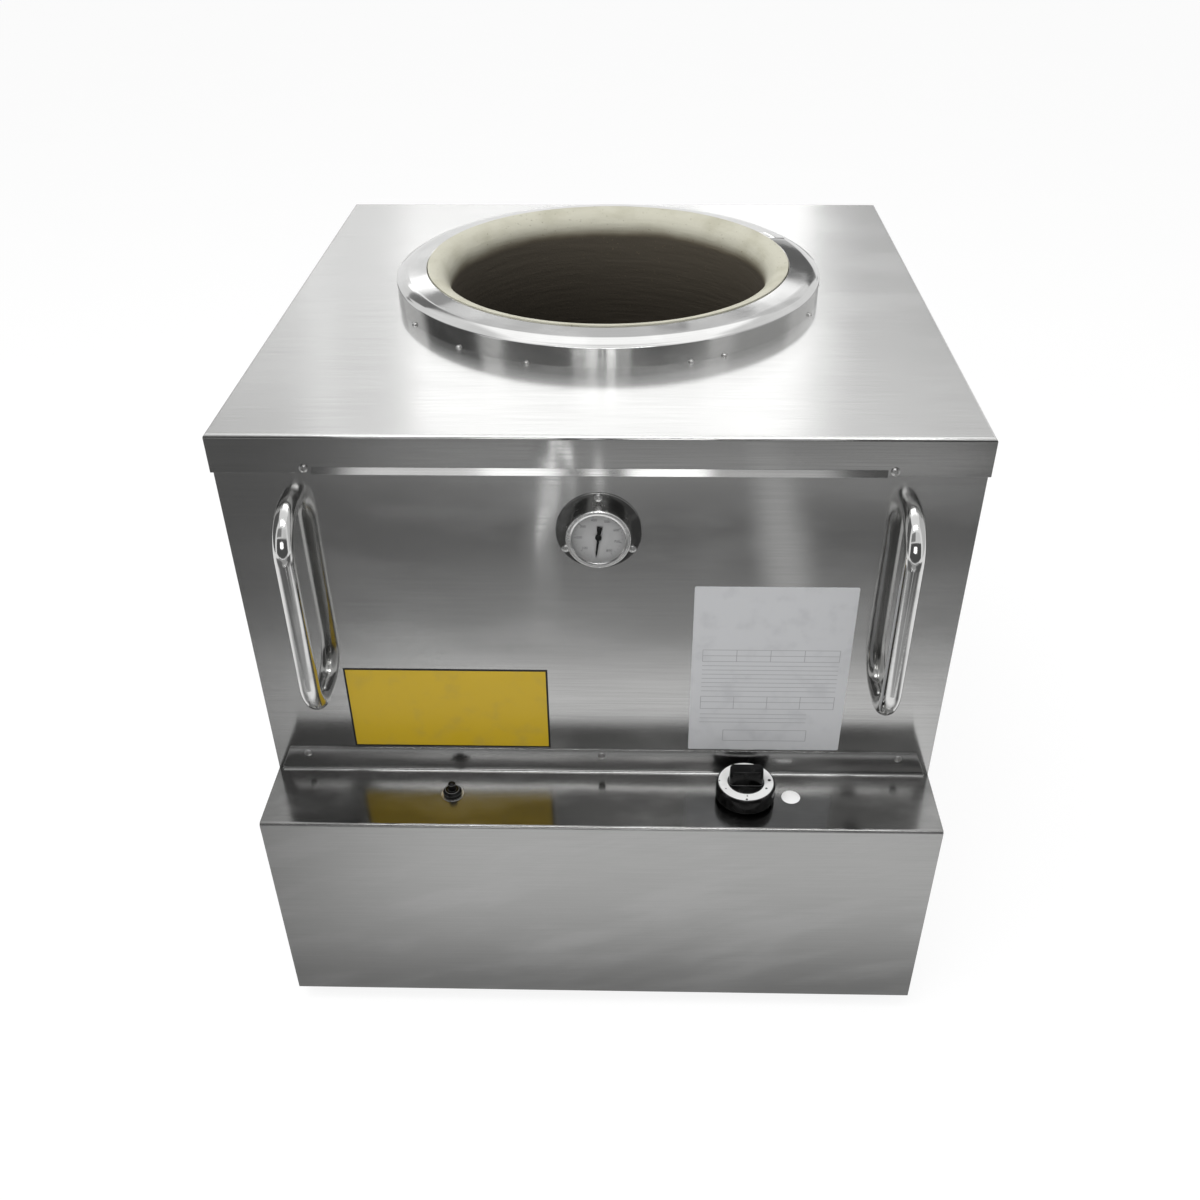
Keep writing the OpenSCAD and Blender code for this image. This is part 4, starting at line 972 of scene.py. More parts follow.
@dataclass
class ClayPot:
    """The bell-shaped pot with its rounded lip, turned as one closed shell."""

    finishes: Finishes
    centre: Vector
    throat_r: float = 0.199
    lip_r: float = 0.226
    lip_rise: float = 0.0337
    belly_r: float = 0.262
    base_r: float = 0.215
    wall: float = 0.040
    floor_t: float = 0.042
    neck_end: float = 0.012
    belly_drop: float = 0.300
    base_drop: float = 0.585
    flame_hole_r: float = 0.095
    hand_mark: float = 0.0008
    hand_mark_size: float = 0.09
    steps: int = 26
    lip_steps: int = 18

    def radius(self, depth: float, neck: float, belly: float, base: float) -> float:
        """Radius of one of the pot's surfaces at a depth.

        Args:
            depth: the depth under the pan.
            neck: the radius at the neck.
            belly: the radius at the widest part.
            base: the radius at the foot.

        Returns:
            The radius.
        """
        if depth <= self.neck_end:
            return neck
        if depth <= self.belly_drop:
            share = (depth - self.neck_end) / (self.belly_drop - self.neck_end)
            return neck + (belly - neck) * (1 - math.cos(math.pi * share)) / 2
        share = (depth - self.belly_drop) / (self.base_drop - self.belly_drop)
        return belly + (base - belly) * (1 - math.cos(math.pi / 2 * share))

    def depths(self, last: float) -> list[float]:
        """Depths of the rings from the neck down.

        Args:
            last: the depth of the lowest ring.

        Returns:
            All the depths.
        """
        shares = [i / self.steps for i in range(self.steps + 1)]
        shoulder = [self.neck_end + (self.belly_drop - self.neck_end) * s for s in shares]
        return shoulder + [self.belly_drop + (last - self.belly_drop) * s for s in shares[1:]]

    def profile(self) -> list[tuple[float, float]]:
        """The pot's closed section.

        Returns:
            Radius and height over the pan of each point.
        """
        floor_drop = self.base_drop - self.floor_t
        belly, base = self.belly_r + self.wall, self.base_r + self.wall
        outer = [
            (self.radius(depth, self.lip_r, belly, base), -depth)
            for depth in self.depths(self.base_drop)
        ]
        inner = [
            (self.radius(depth, self.throat_r, self.belly_r, self.base_r), -depth)
            for depth in self.depths(floor_drop)
        ]
        round_r = self.lip_r - self.throat_r
        turns = [math.pi / 2 * i / self.lip_steps for i in range(self.lip_steps + 1)]
        lip = [
            (self.lip_r - round_r * math.sin(t), self.lip_rise - round_r * (1 - math.cos(t)))
            for t in turns
        ]
        hole = [(self.flame_hole_r, -floor_drop), (self.flame_hole_r, -self.base_drop)]
        ring = outer[::-1] + lip + inner + hole
        return ring + ring[:1]

    def build(self) -> None:
        """Turns the pot and gives it the slight unevenness of handwork."""
        pot = Bench.lathe("clay_pot_shell", self.profile(), self.centre, 160)
        marks = bpy.data.textures.new("hand_marks", "CLOUDS")
        marks.noise_scale = self.hand_mark_size
        Bench.modify(
            pot, "DISPLACE", texture=marks, texture_coords="LOCAL", strength=self.hand_mark,
            mid_level=0.5, direction="NORMAL",
        )
        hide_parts("clay_pot")
        Bench.finish(pot, "oven", "fired_clay", self.finishes.made["clay"])
        self.finishes.dress(fibre=["neck_seal", "insulation_fill"])


@dataclass
class CollarRing:
    """The stainless ring round the mouth, with its lap seam and tack welds."""

    finishes: Finishes
    centre: Vector
    # The spun section: nearly flat inside, then a long curve that falls to a folded edge.
    inner_r: float = 0.2268
    inner_h: float = 0.0323
    sheet_t: float = 0.0018
    hem_h: float = 0.0060
    hem_edge: float = 0.0006
    flat_deg: float = 7.0
    brink_deg: float = 34.0
    curve_from_r: float = 0.2475
    curve_r: float = 0.0343
    curve_steps: int = 12
    fold_r: float = 0.0016
    fold_steps: int = 6
    skirt_r: float = 0.2650
    # The overlap of its ends, a strip on the slope from the hem out to the curve.
    lap_r: float = 0.2500
    lap_h: float = 0.0294
    lap_rise: float = 0.0025
    lap_t: float = 0.0008
    lap_sink: float = 0.0001
    lap_edge: float = 0.00025
    lap_from_deg: float = 29.5
    lap_turn_deg: float = 7.0
    lap_steps: int = 12

    def lap(self) -> None:
        """Spins the overlap where the ends of the ring meet, from one flat strip."""
        start, reach = math.radians(self.lap_from_deg), self.lap_r - self.inner_r
        middle = (self.inner_r + self.lap_r) / 2
        height = self.lap_h + self.lap_rise / 2 + self.lap_t / 2 - self.lap_sink
        arm = Vector((middle * math.cos(start), middle * math.sin(start), height))
        lean = (math.pi / 2, math.atan2(self.lap_rise, reach), start)
        strip = Bench.plane("collar_lap", (reach, self.lap_t), self.centre + arm, lean)
        turn = math.radians(self.lap_turn_deg)
        with Bench.editing(strip, "FACE", "SELECT"):
            bpy.ops.mesh.spin(
                steps=self.lap_steps, angle=turn, center=self.centre, axis=(0, 0, 1)
            )
        Bench.close_up(strip)
        Bench.round_edges(strip, self.lap_edge, 2)
        Bench.finish(strip, "oven", "polished_steel", self.finishes.made["collar"])

    def ring(self) -> None:
        """Turns the ring, from its hem round the mouth over the curve and down the skirt."""
        flat, brink = math.radians(self.flat_deg), math.radians(self.brink_deg)
        start_h = self.inner_h - (self.curve_from_r - self.inner_r) * math.tan(flat)
        top = [(self.inner_r + self.hem_edge, self.inner_h)]
        for i in range(self.curve_steps + 1):
            turn = flat + (brink - flat) * i / self.curve_steps
            radius = self.curve_from_r + self.curve_r * (math.sin(turn) - math.sin(flat))
            top.append((radius, start_h - self.curve_r * (math.cos(flat) - math.cos(turn))))
        brink_r, brink_h = top[-1]
        fold = self.skirt_r - self.fold_r
        fold_h = brink_h - (fold - brink_r) * math.tan(brink) - self.fold_r
        for i in range(self.fold_steps + 1):
            turn = brink + (math.pi / 2 - brink) * i / self.fold_steps
            top.append((fold + self.fold_r * math.sin(turn), fold_h + self.fold_r * math.cos(turn)))
        # The inner face follows the outer one back, as far as the fold's bend allows.
        followed = top[-self.fold_steps : 1 : -1]
        back = [(radius - self.sheet_t, height - self.sheet_t) for radius, height in followed]
        hem_foot, hem_r = self.inner_h - self.hem_h, self.inner_r + self.sheet_t
        section = [
            (self.inner_r, hem_foot), (self.inner_r, self.inner_h - self.hem_edge), *top,
            (self.skirt_r, 0.0), (self.skirt_r - self.sheet_t, 0.0), *back,
            (hem_r, self.inner_h - self.sheet_t - self.hem_edge), (hem_r, hem_foot),
            (self.inner_r, hem_foot),
        ]
        ring = Bench.lathe("collar_spun_ring", section, self.centre, 160)
        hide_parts("collar_ring")
        Bench.finish(ring, "oven", "polished_steel", self.finishes.made["collar"])

    def build(self) -> None:
        """Builds the ring and its lap, and dresses the welds."""
        self.ring()
        self.finishes.dress(weld=["collar_welds"])
        self.lap()


@dataclass
class Plate:
    """A bare adhesive plate on the front sheet, with a printed border or empty boxes."""

    name: str
    low: tuple[float, float]
    high: tuple[float, float]
    corner_r: float
    border: float = 0.0
    # Each ruled line's ends in millimetres from the plate's top left corner.
    rules: tuple[tuple[float, float, float, float], ...] = ()
    rule_t: float = 0.0007
    rule_lift: float = 0.00005
    thickness: float = 0.0004

    def sheet(self, vinyl: bpy.types.Material, ink: bpy.types.Material) -> bpy.types.Object:
        """Makes the plate about the origin: round corners, printed border and thickness.

        Args:
            vinyl: the plate's finish.
            ink: the border's finish.

        Returns:
            The plate, facing up.
        """
        size = (self.high[0] - self.low[0], self.high[1] - self.low[1])
        piece = Bench.plane(self.name, size)
        if self.corner_r > 0:
            with Bench.editing(piece, "VERT", "SELECT"):
                bpy.ops.mesh.bevel(offset=self.corner_r, segments=5, affect="VERTICES")
        piece.data.materials.append(vinyl)
        if self.border > 0:
            piece.data.materials.append(ink)
            with Bench.editing(piece, "FACE", "SELECT") as mesh:
                bpy.ops.mesh.inset(thickness=self.border, depth=0)
                for face in mesh.faces:
                    face.material_index = 0 if face.select else 1
        with Bench.editing(piece, "FACE", "SELECT"):
            bpy.ops.mesh.extrude_region_move(
                TRANSFORM_OT_translate={"value": (0, 0, self.thickness)}
            )
        Bench.close_up(piece)
        return piece

    def ruling(self) -> bpy.types.Object:
        """Draws the ruled lines about the origin.

        Returns:
            The joined lines, facing up.
        """
        width, height = self.high[0] - self.low[0], self.high[1] - self.low[1]
        lines = []
        for x0, y0, x1, y1 in self.rules:
            place = ((x0 + x1) / 2 * MM - width / 2, height / 2 - (y0 + y1) / 2 * MM, 0)
            reach = [max(length * MM, self.rule_t) for length in (x1 - x0, y1 - y0)]
            lines.append(Bench.plane("rule", reach, place))
        return Bench.join(f"{self.name}_rules", lines)

    def build(self, face_y: float, vinyl: bpy.types.Material, ink: bpy.types.Material) -> None:
        """Makes the plate and sticks it on the front sheet.

        Args:
            face_y: the front sheet's outer face.
            vinyl: the plate's finish.
            ink: the finish of its border and lines.
        """
        x, z = ((a + b) / 2 for a, b in zip(self.low, self.high))
        piece = self.sheet(vinyl, ink)
        Bench.face_front(piece, Vector((x, face_y, z)))
        Bench.finish(piece, "oven", "dial_print", vinyl)
        if self.rules:
            lines = self.ruling()
            Bench.face_front(lines, Vector((x, face_y - self.thickness - self.rule_lift, z)))
            Bench.finish(lines, "oven", "dial_print", ink)


def empty_form() -> tuple[tuple[float, float, float, float], ...]:
    """Lines of an empty form: two rows of boxes with plain writing lines between.

    Returns:
        Each line's ends in millimetres from the top left corner.
    """
    left, right = 12.0, 165.0
    columns = (left, 50.0, 88.0, 126.0, right)
    lines = [(left, y, right, y) for y in (84, 92, 100, 150, 158, 168)]
    for top, foot in ((84, 100), (150, 168)):
        lines += [(x, top, x, foot) for x in columns]
    lines += [(left, y, right, y) for y in (106, 112, 118, 124, 130, 136, 142)]
    lines += [(left, y, right - 30, y) for y in (176, 182, 188)]
    lines += [(40, y, right - 28, y) for y in (200, 216)]
    lines += [(x, 200, x, 216) for x in (40, right - 28)]
    return tuple(lines)


@dataclass
class Cabinet:
    """Top pan, sheets, frame and feet, with the bare plates on the front sheet."""

    finishes: Finishes
    face_y: float
    top_z: float
    # Two opposite corners of each plate: X, and height over the pan's upper face.
    yellow_low: tuple[float, float] = (-0.2935, -0.4070)
    yellow_high: tuple[float, float] = (-0.0605, -0.2915)
    yellow_border: float = 0.0022
    white_low: tuple[float, float] = (0.1025, -0.4065)
    white_high: tuple[float, float] = (0.2795, -0.1768)
    white_corner: float = 0.0020

    def corner(self, at: tuple[float, float]) -> tuple[float, float]:
        """Turns a corner measured from the pan's upper face to X and Z."""
        return at[0], self.top_z + at[1]

    def build(self) -> None:
        """Dresses the cabinet's nodes and adds the plates."""
        made = self.finishes.made
        self.finishes.dress(
            pan=["top_pan"],
            front=["front_panel"],
            side=["left_panel", "right_panel", "rear_panel", "base_tray"],
            frame=[
                "top_frame", "corner_posts", "base_frame", "base_rails", "shelf_legs", "pot_shelf",
            ],
            foot=["feet"],
            pad=["foot_pads"],
            screw=["lip_screws", "upstand_screws"],
        )
        low, high = self.corner(self.yellow_low), self.corner(self.yellow_high)
        yellow = Plate("yellow_plate", low, high, 0.0, self.yellow_border)
        yellow.build(self.face_y, made["yellow"], made["ink"])
        low, high = self.corner(self.white_low), self.corner(self.white_high)
        white = Plate("white_plate", low, high, self.white_corner, rules=empty_form())
        white.build(self.face_y, made["paper"], made["rule_ink"])


@dataclass
class Handles:
    """The two bent tube handles with their inserts and bolts."""

    finishes: Finishes

    def build(self) -> None:
        """Dresses the handles."""
        self.finishes.dress(
            handle=["left_handle", "right_handle"], screw=["handle_inserts", "handle_bolts"]
        )


@dataclass
class Thermometer:
    """The dial thermometer with its printed scale."""

    finishes: Finishes
    centre: Vector
    dial_face_y: float
    bezel_foot_y: float
    bezel_r: float = 0.0338
    bezel_t: float = 0.0027
    bezel_roll: float = 0.0014
    bezel_steps: int = 6
    # The bezel's inner lip: how wide its slope is, and how far down it starts and ends.
    lip_w: float = 0.0008
    lip_high: float = 0.0002
    lip_low: float = 0.0008
    sight_r: float = 0.0282
    glass_r: float = 0.0298
    glass_t: float = 0.0015
    tick_r: float = 0.0255
    number_r: float = 0.0200
    letter: float = 0.0042
    ticks: int = 33
    tick_step: int = 25
    # Every so many ticks there is a long one with a number; sizes are length and width.
    numbered: int = 4
    long_tick: tuple[float, float] = (0.0026, 0.0005)
    short_tick: tuple[float, float] = (0.0015, 0.0003)
    rest_deg: float = 6.8
    sweep_deg: float = 320.0
    ink_lift: float = 0.00006

    def tick_degrees(self, i: int) -> float:
        """A tick's angle, clockwise past straight down."""
        return self.rest_deg + self.sweep_deg * i / (self.ticks - 1)

    def dial_point(self, radius: float, degrees: float) -> tuple[float, float]:
        """A point on the dial.

        Args:
            radius: its distance from the needle's axis.
            degrees: its angle, clockwise past straight down as seen from the front.

        Returns:
            Its X and Y on a dial drawn about the origin, seen from the front.
        """
        turn = math.radians(-90 - degrees)
        return radius * math.cos(turn), radius * math.sin(turn)

    def scale_marks(self) -> bpy.types.Object:
        """Draws the ring of ticks, one bar for each.

        Returns:
            The joined ticks, drawn about the origin.
        """
        bars = []
        for i in range(self.ticks):
            size = self.short_tick if i % self.numbered else self.long_tick
            degrees = self.tick_degrees(i)
            place = (*self.dial_point(self.tick_r - size[0] / 2, degrees), 0)
            turn = (0, 0, math.radians(-90 - degrees))
            bars.append(Bench.plane("tick", size, place, turn))
        return Bench.join("dial_ticks", bars)

    def numbers(self) -> bpy.types.Object:
        """Writes the plain scale numbers.

        Returns:
            The joined numbers, drawn about the origin.
        """
        words = []
        for i in range(0, self.ticks, self.numbered):
            degrees = self.tick_degrees(i)
            x, y = self.dial_point(self.number_r, degrees)
            Bench.clear()
            bpy.ops.object.text_add(location=(x, y, 0))
            text = bpy.context.object
            text.data.body, text.data.size = str(i * self.tick_step), self.letter
            text.data.align_x, text.data.align_y = "CENTER", "CENTER"
            bpy.ops.object.convert(target="MESH")
            words.append(Bench.name("number"))
        return Bench.join("dial_numbers", words)

    def bezel(self) -> None:
        """Turns the rolled ring that holds the glass, with its round shoulder and inner lip."""
        outer, depth, roll = self.bezel_r, self.bezel_t, self.bezel_roll
        turns = [math.pi / 2 * i / self.bezel_steps for i in range(self.bezel_steps + 1)]
        shoulder = [
            (outer - roll * (1 - math.cos(t)), depth - roll * (1 - math.sin(t))) for t in turns
        ]
        section = [
            (self.glass_r, 0.0), (outer, 0.0), *shoulder,
            (self.sight_r + self.lip_w, depth - self.lip_high),
            (self.sight_r, depth - self.lip_low), (self.sight_r, self.glass_t),
            (self.glass_r, self.glass_t), (self.glass_r, 0.0),
        ]
        ring = Bench.lathe("thermo_bezel_ring", section, Vector((0, 0, 0)), 96)
        Bench.face_front(ring, Vector((self.centre.x, self.bezel_foot_y, self.centre.z)))
        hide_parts("thermo_bezel")
        Bench.finish(ring, "oven", "polished_steel", self.finishes.made["gauge"])

    def build(self) -> None:
        """Dresses the thermometer and prints its dial."""
        made = self.finishes.made
        self.bezel()
        self.finishes.dress(
            flange=["thermo_flange"],
            gauge=["thermo_case", "thermo_probe"],
            screw=["thermo_screws", "needle_shaft"],
            dial=["thermo_dial"],
            needle=["thermo_needle"],
            glass=["thermo_glass"],
        )
        place = Vector((self.centre.x, self.dial_face_y - self.ink_lift, self.centre.z))
        for print_ in (self.scale_marks(), self.numbers()):
            Bench.face_front(print_, place)
            Bench.finish(print_, "oven", "dial_print", made["faint_ink"])


@dataclass
class Knob:
    """The moulded gas knob: skirt, hub, bar grip and the marks on its pale ring."""

    finishes: Finishes
    foot: Vector
    skirt_r: float = 0.0345
    skirt_h: float = 0.0195
    ring_r: float = 0.0318
    ring_sink: float = 0.0008
    hub_r: float = 0.0215
    hub_rise: float = 0.0012
    grip_h: float = 0.0205
    grip_t: float = 0.0170
    grip_top_t: float = 0.0152
    grip_w: float = 0.0405
    recess_r: float = 0.0145
    recess_h: float = 0.0080
    bore_r: float = 0.0040
    bore_h: float = 0.0160
    foot_edge: float = 0.001
    ring_rim: float = 0.0010
    # How far in from its radius and over the skirt's top each point of a rounded edge is.
    skirt_edge: tuple[tuple[float, float], ...] = ((0.0, -0.0035), (0.0006, -0.0014))
    hub_edge: tuple[tuple[float, float], ...] = ((0.0, 0.0), (0.0004, 0.0008))
    hub_edge_w: float = 0.0014
    grip_sink: float = 0.001
    grip_corner: float = 0.0062
    grip_edge: float = 0.0011
    grip_top_share: float = 0.94
    mark_lift: float = 0.00042
    mark_t: float = 0.0001
    # Each mark's angle, distance from the axis and radius in millimetres.
    marks: tuple[tuple[float, float, float], ...] = (
        (5.0, 27.4, 2.0), (-27.0, 25.6, 1.3), (-92.0, 30.3, 1.3), (-90.0, 24.6, 0.9),
        (-152.0, 27.0, 0.8), (178.0, 30.8, 0.9),
    )

    def skirt(self) -> bpy.types.Object:
        """Turns the skirt and hub, with their rounded edges and the hollow underneath.

        Returns:
            The turned piece.
        """
        top, ring = self.skirt_h, self.skirt_h - self.ring_sink
        section = [
            (0.0, self.bore_h), (self.bore_r, self.bore_h), (self.bore_r, self.recess_h),
            (self.recess_r, self.recess_h), (self.recess_r, 0.0),
            (self.skirt_r - self.foot_edge, 0.0), (self.skirt_r, self.foot_edge),
            *((self.skirt_r - inward, top + over) for inward, over in self.skirt_edge),
            (self.ring_r + self.ring_rim, top), (self.ring_r, top), (self.ring_r, ring),
            (self.hub_r, ring),
            *((self.hub_r - inward, top + over) for inward, over in self.hub_edge),
            (self.hub_r - self.hub_edge_w, top + self.hub_rise), (0.0, top + self.hub_rise),
        ]
        return Bench.lathe("knob_skirt", section, self.foot, 128)

    def grip(self) -> bpy.types.Object:
        """Shapes the bar from a box: round ends, a tapered top and soft edges.

        Returns:
            The bar.
        """
        Bench.clear()
        low = self.skirt_h - self.grip_sink
        height = self.skirt_h + self.grip_h - low
        middle = self.foot + Vector((0, 0, low + height / 2))
        bpy.ops.mesh.primitive_cube_add(size=1, location=middle)
        bpy.context.object.scale = (self.grip_w, self.grip_t, height)
        bar = Bench.name("knob_grip")
        with Bench.editing(bar, "EDGE") as mesh:
            for edge in mesh.edges:
                way = edge.verts[0].co - edge.verts[1].co
                edge.select_set(abs(way.z) > abs(way.x) + abs(way.y))
            bpy.ops.mesh.bevel(offset=self.grip_corner, segments=6, affect="EDGES")
        with Bench.editing(bar) as mesh:
            for face in mesh.faces:
                if face.normal.z > 0.9:
                    face.select_set(True)
            bpy.ops.transform.resize(
                value=(self.grip_top_share, self.grip_top_t / self.grip_t, 1),
                center_override=self.foot + Vector((0, 0, low + height)),
            )
        Bench.round_edges(bar, self.grip_edge, 4)
        return bar

    def ring_marks(self) -> bpy.types.Object:
        """Cuts the plain dots on the ring from discs.

        Returns:
            The joined dots.
        """
        dots = []
        for degrees, reach, radius in self.marks:
            turn, height = math.radians(degrees), self.skirt_h + self.mark_lift
            place = Vector((reach * MM * math.cos(turn), reach * MM * math.sin(turn), height))
            Bench.clear()
            bpy.ops.mesh.primitive_cylinder_add(
                vertices=24, radius=radius * MM, depth=self.mark_t, location=self.foot + place
            )
            dots.append(Bench.name("dot"))
        return Bench.join("knob_ring_marks", dots)

    def build(self) -> None:
        """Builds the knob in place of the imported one."""
        made = self.finishes.made
        body = Bench.join("knob_moulding", [self.skirt(), self.grip()])
        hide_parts("knob")
        Bench.finish(body, "knob", "black_plastic", made["black"])
        Bench.finish(self.ring_marks(), "knob", "dial_print", made["ink"])
        self.finishes.dress(ring=["knob_dial"])


@dataclass
class ControlBox:
    """The control box with its floor, igniter and bare round sticker."""

    finishes: Finishes
    top_z: float
    knob_at: tuple[float, float]
    igniter_at: tuple[float, float]
    # The round sticker's place, measured from the knob's axis.
    sticker_from_knob: tuple[float, float] = (0.054, 0.0005)
    sticker_r: float = 0.0110
    sticker_t: float = 0.0003
    sticker_lift: float = 0.0001
    sticker_edge: float = 0.0001
    washer_r: tuple[float, float] = (0.0108, 0.0134)
    washer_t: float = 0.0006
    washer_edge: float = 0.0002

    def sticker(self) -> None:
        """Cuts the round sticker from a disc."""
        Bench.clear()
        x, y = (knob + step for knob, step in zip(self.knob_at, self.sticker_from_knob))
        place = (x, y, self.top_z + self.sticker_lift)
        bpy.ops.mesh.primitive_cylinder_add(
            vertices=64, radius=self.sticker_r, depth=self.sticker_t, location=place
        )
        piece = Bench.name("round_sticker")
        Bench.round_edges(piece, self.sticker_edge, 2)
        Bench.finish(piece, "oven", "dial_print", self.finishes.made["sticker"])

    def washer(self) -> None:
        """Turns the plated washer under the igniter's nut."""
        inner, outer = self.washer_r
        edge = self.washer_edge
        section = [
            (inner, 0.0), (outer, 0.0), (outer, self.washer_t - edge),
            (outer - edge, self.washer_t), (inner, self.washer_t), (inner, 0.0),
        ]
        foot = Vector((*self.igniter_at, self.top_z))
        piece = Bench.lathe("igniter_washer", section, foot, 72)
        Bench.finish(piece, "oven", "screw_steel", self.finishes.made["screw"])

    def build(self) -> None:
        """Dresses the box and its controls."""
        self.finishes.dress(
            box=["control_box"],
            side=["control_box_floor"],
            black=["igniter_body", "igniter_nut", "igniter_button"],
            screw=["valve_nut", "valve_stem"],
        )
        self.sticker()
        self.washer()


@dataclass
class Burner:
    """Burner, gas line, pilot and ignition parts, most of them out of sight."""

    finishes: Finishes

    def build(self) -> None:
        """Dresses the burner's nodes."""
        self.finishes.dress(
            iron=["burner_head", "mixing_tube", "flame_deflector"],
            side=["burner_box"],
            screw=["air_shutter", "pilot_burner"],
            brass=["gas_jet", "gas_valve", "valve_plug", "thermocouple", "feed_pipe"],
            aluminium=["pilot_tube"],
            frame=["gas_pipe", "inlet_nipple", "inlet_locknuts"],
            porcelain=["spark_electrode"],
            jacket=["ignition_lead"],
        )


# ---------------------------------------------------------------- studio


@dataclass(frozen=True)
class Card:
    """A card or softbox that only mirror-like surfaces see, with edges that fade out."""

    name: str
    centre: tuple[float, float, float]
    size: tuple[float, float]
    facing: tuple[float, float, float]
    light: float
    soft: float

    def fade(self, on: Surface) -> bpy.types.Node:
        """How solid the card is: 1 in its middle and 0 at its edges.

        Args:
            on: the card's material.

        Returns:
            The node that gives it.
        """
        part = on.add("ShaderNodeSeparateXYZ", {0: on.place}).outputs
        sides = []
        for axis, length in enumerate(self.size):
            away = on.add("ShaderNodeMath", {0: part[axis]}, operation="ABSOLUTE")
            edge = {0: away, 1: 0.5, 2: 0.5 - self.soft / length, 3: 0.0, 4: 1.0}
            sides.append(on.add("ShaderNodeMapRange", edge, interpolation_type="SMOOTHSTEP"))
        return on.add("ShaderNodeMath", {0: sides[0], 1: sides[1]}, operation="MULTIPLY")

    def build(self) -> None:
        """Makes the card, hidden from all rays but the glossy ones."""
        Bench.clear()
        bpy.ops.mesh.primitive_plane_add(size=1)
        card = bpy.context.object
        card.name = self.name
        card.scale = (*self.size, 1)
        card.location = self.centre
        card.rotation_mode = "QUATERNION"
        card.rotation_quaternion = Vector(self.facing).to_track_quat("Z", "Y")
        on = Surface(self.name)
        glow = on.add("ShaderNodeEmission", {"Strength": self.light})
        clear = on.add("ShaderNodeBsdfTransparent")
        mixed = on.add("ShaderNodeMixShader", {0: self.fade(on), 1: clear, 2: glow})
        on.connect(on.output, {"Surface": mixed})
        card.data.materials.append(on.material)
        card.visible_camera = card.visible_diffuse = card.visible_shadow = False
        card.visible_transmission = card.visible_volume_scatter = False


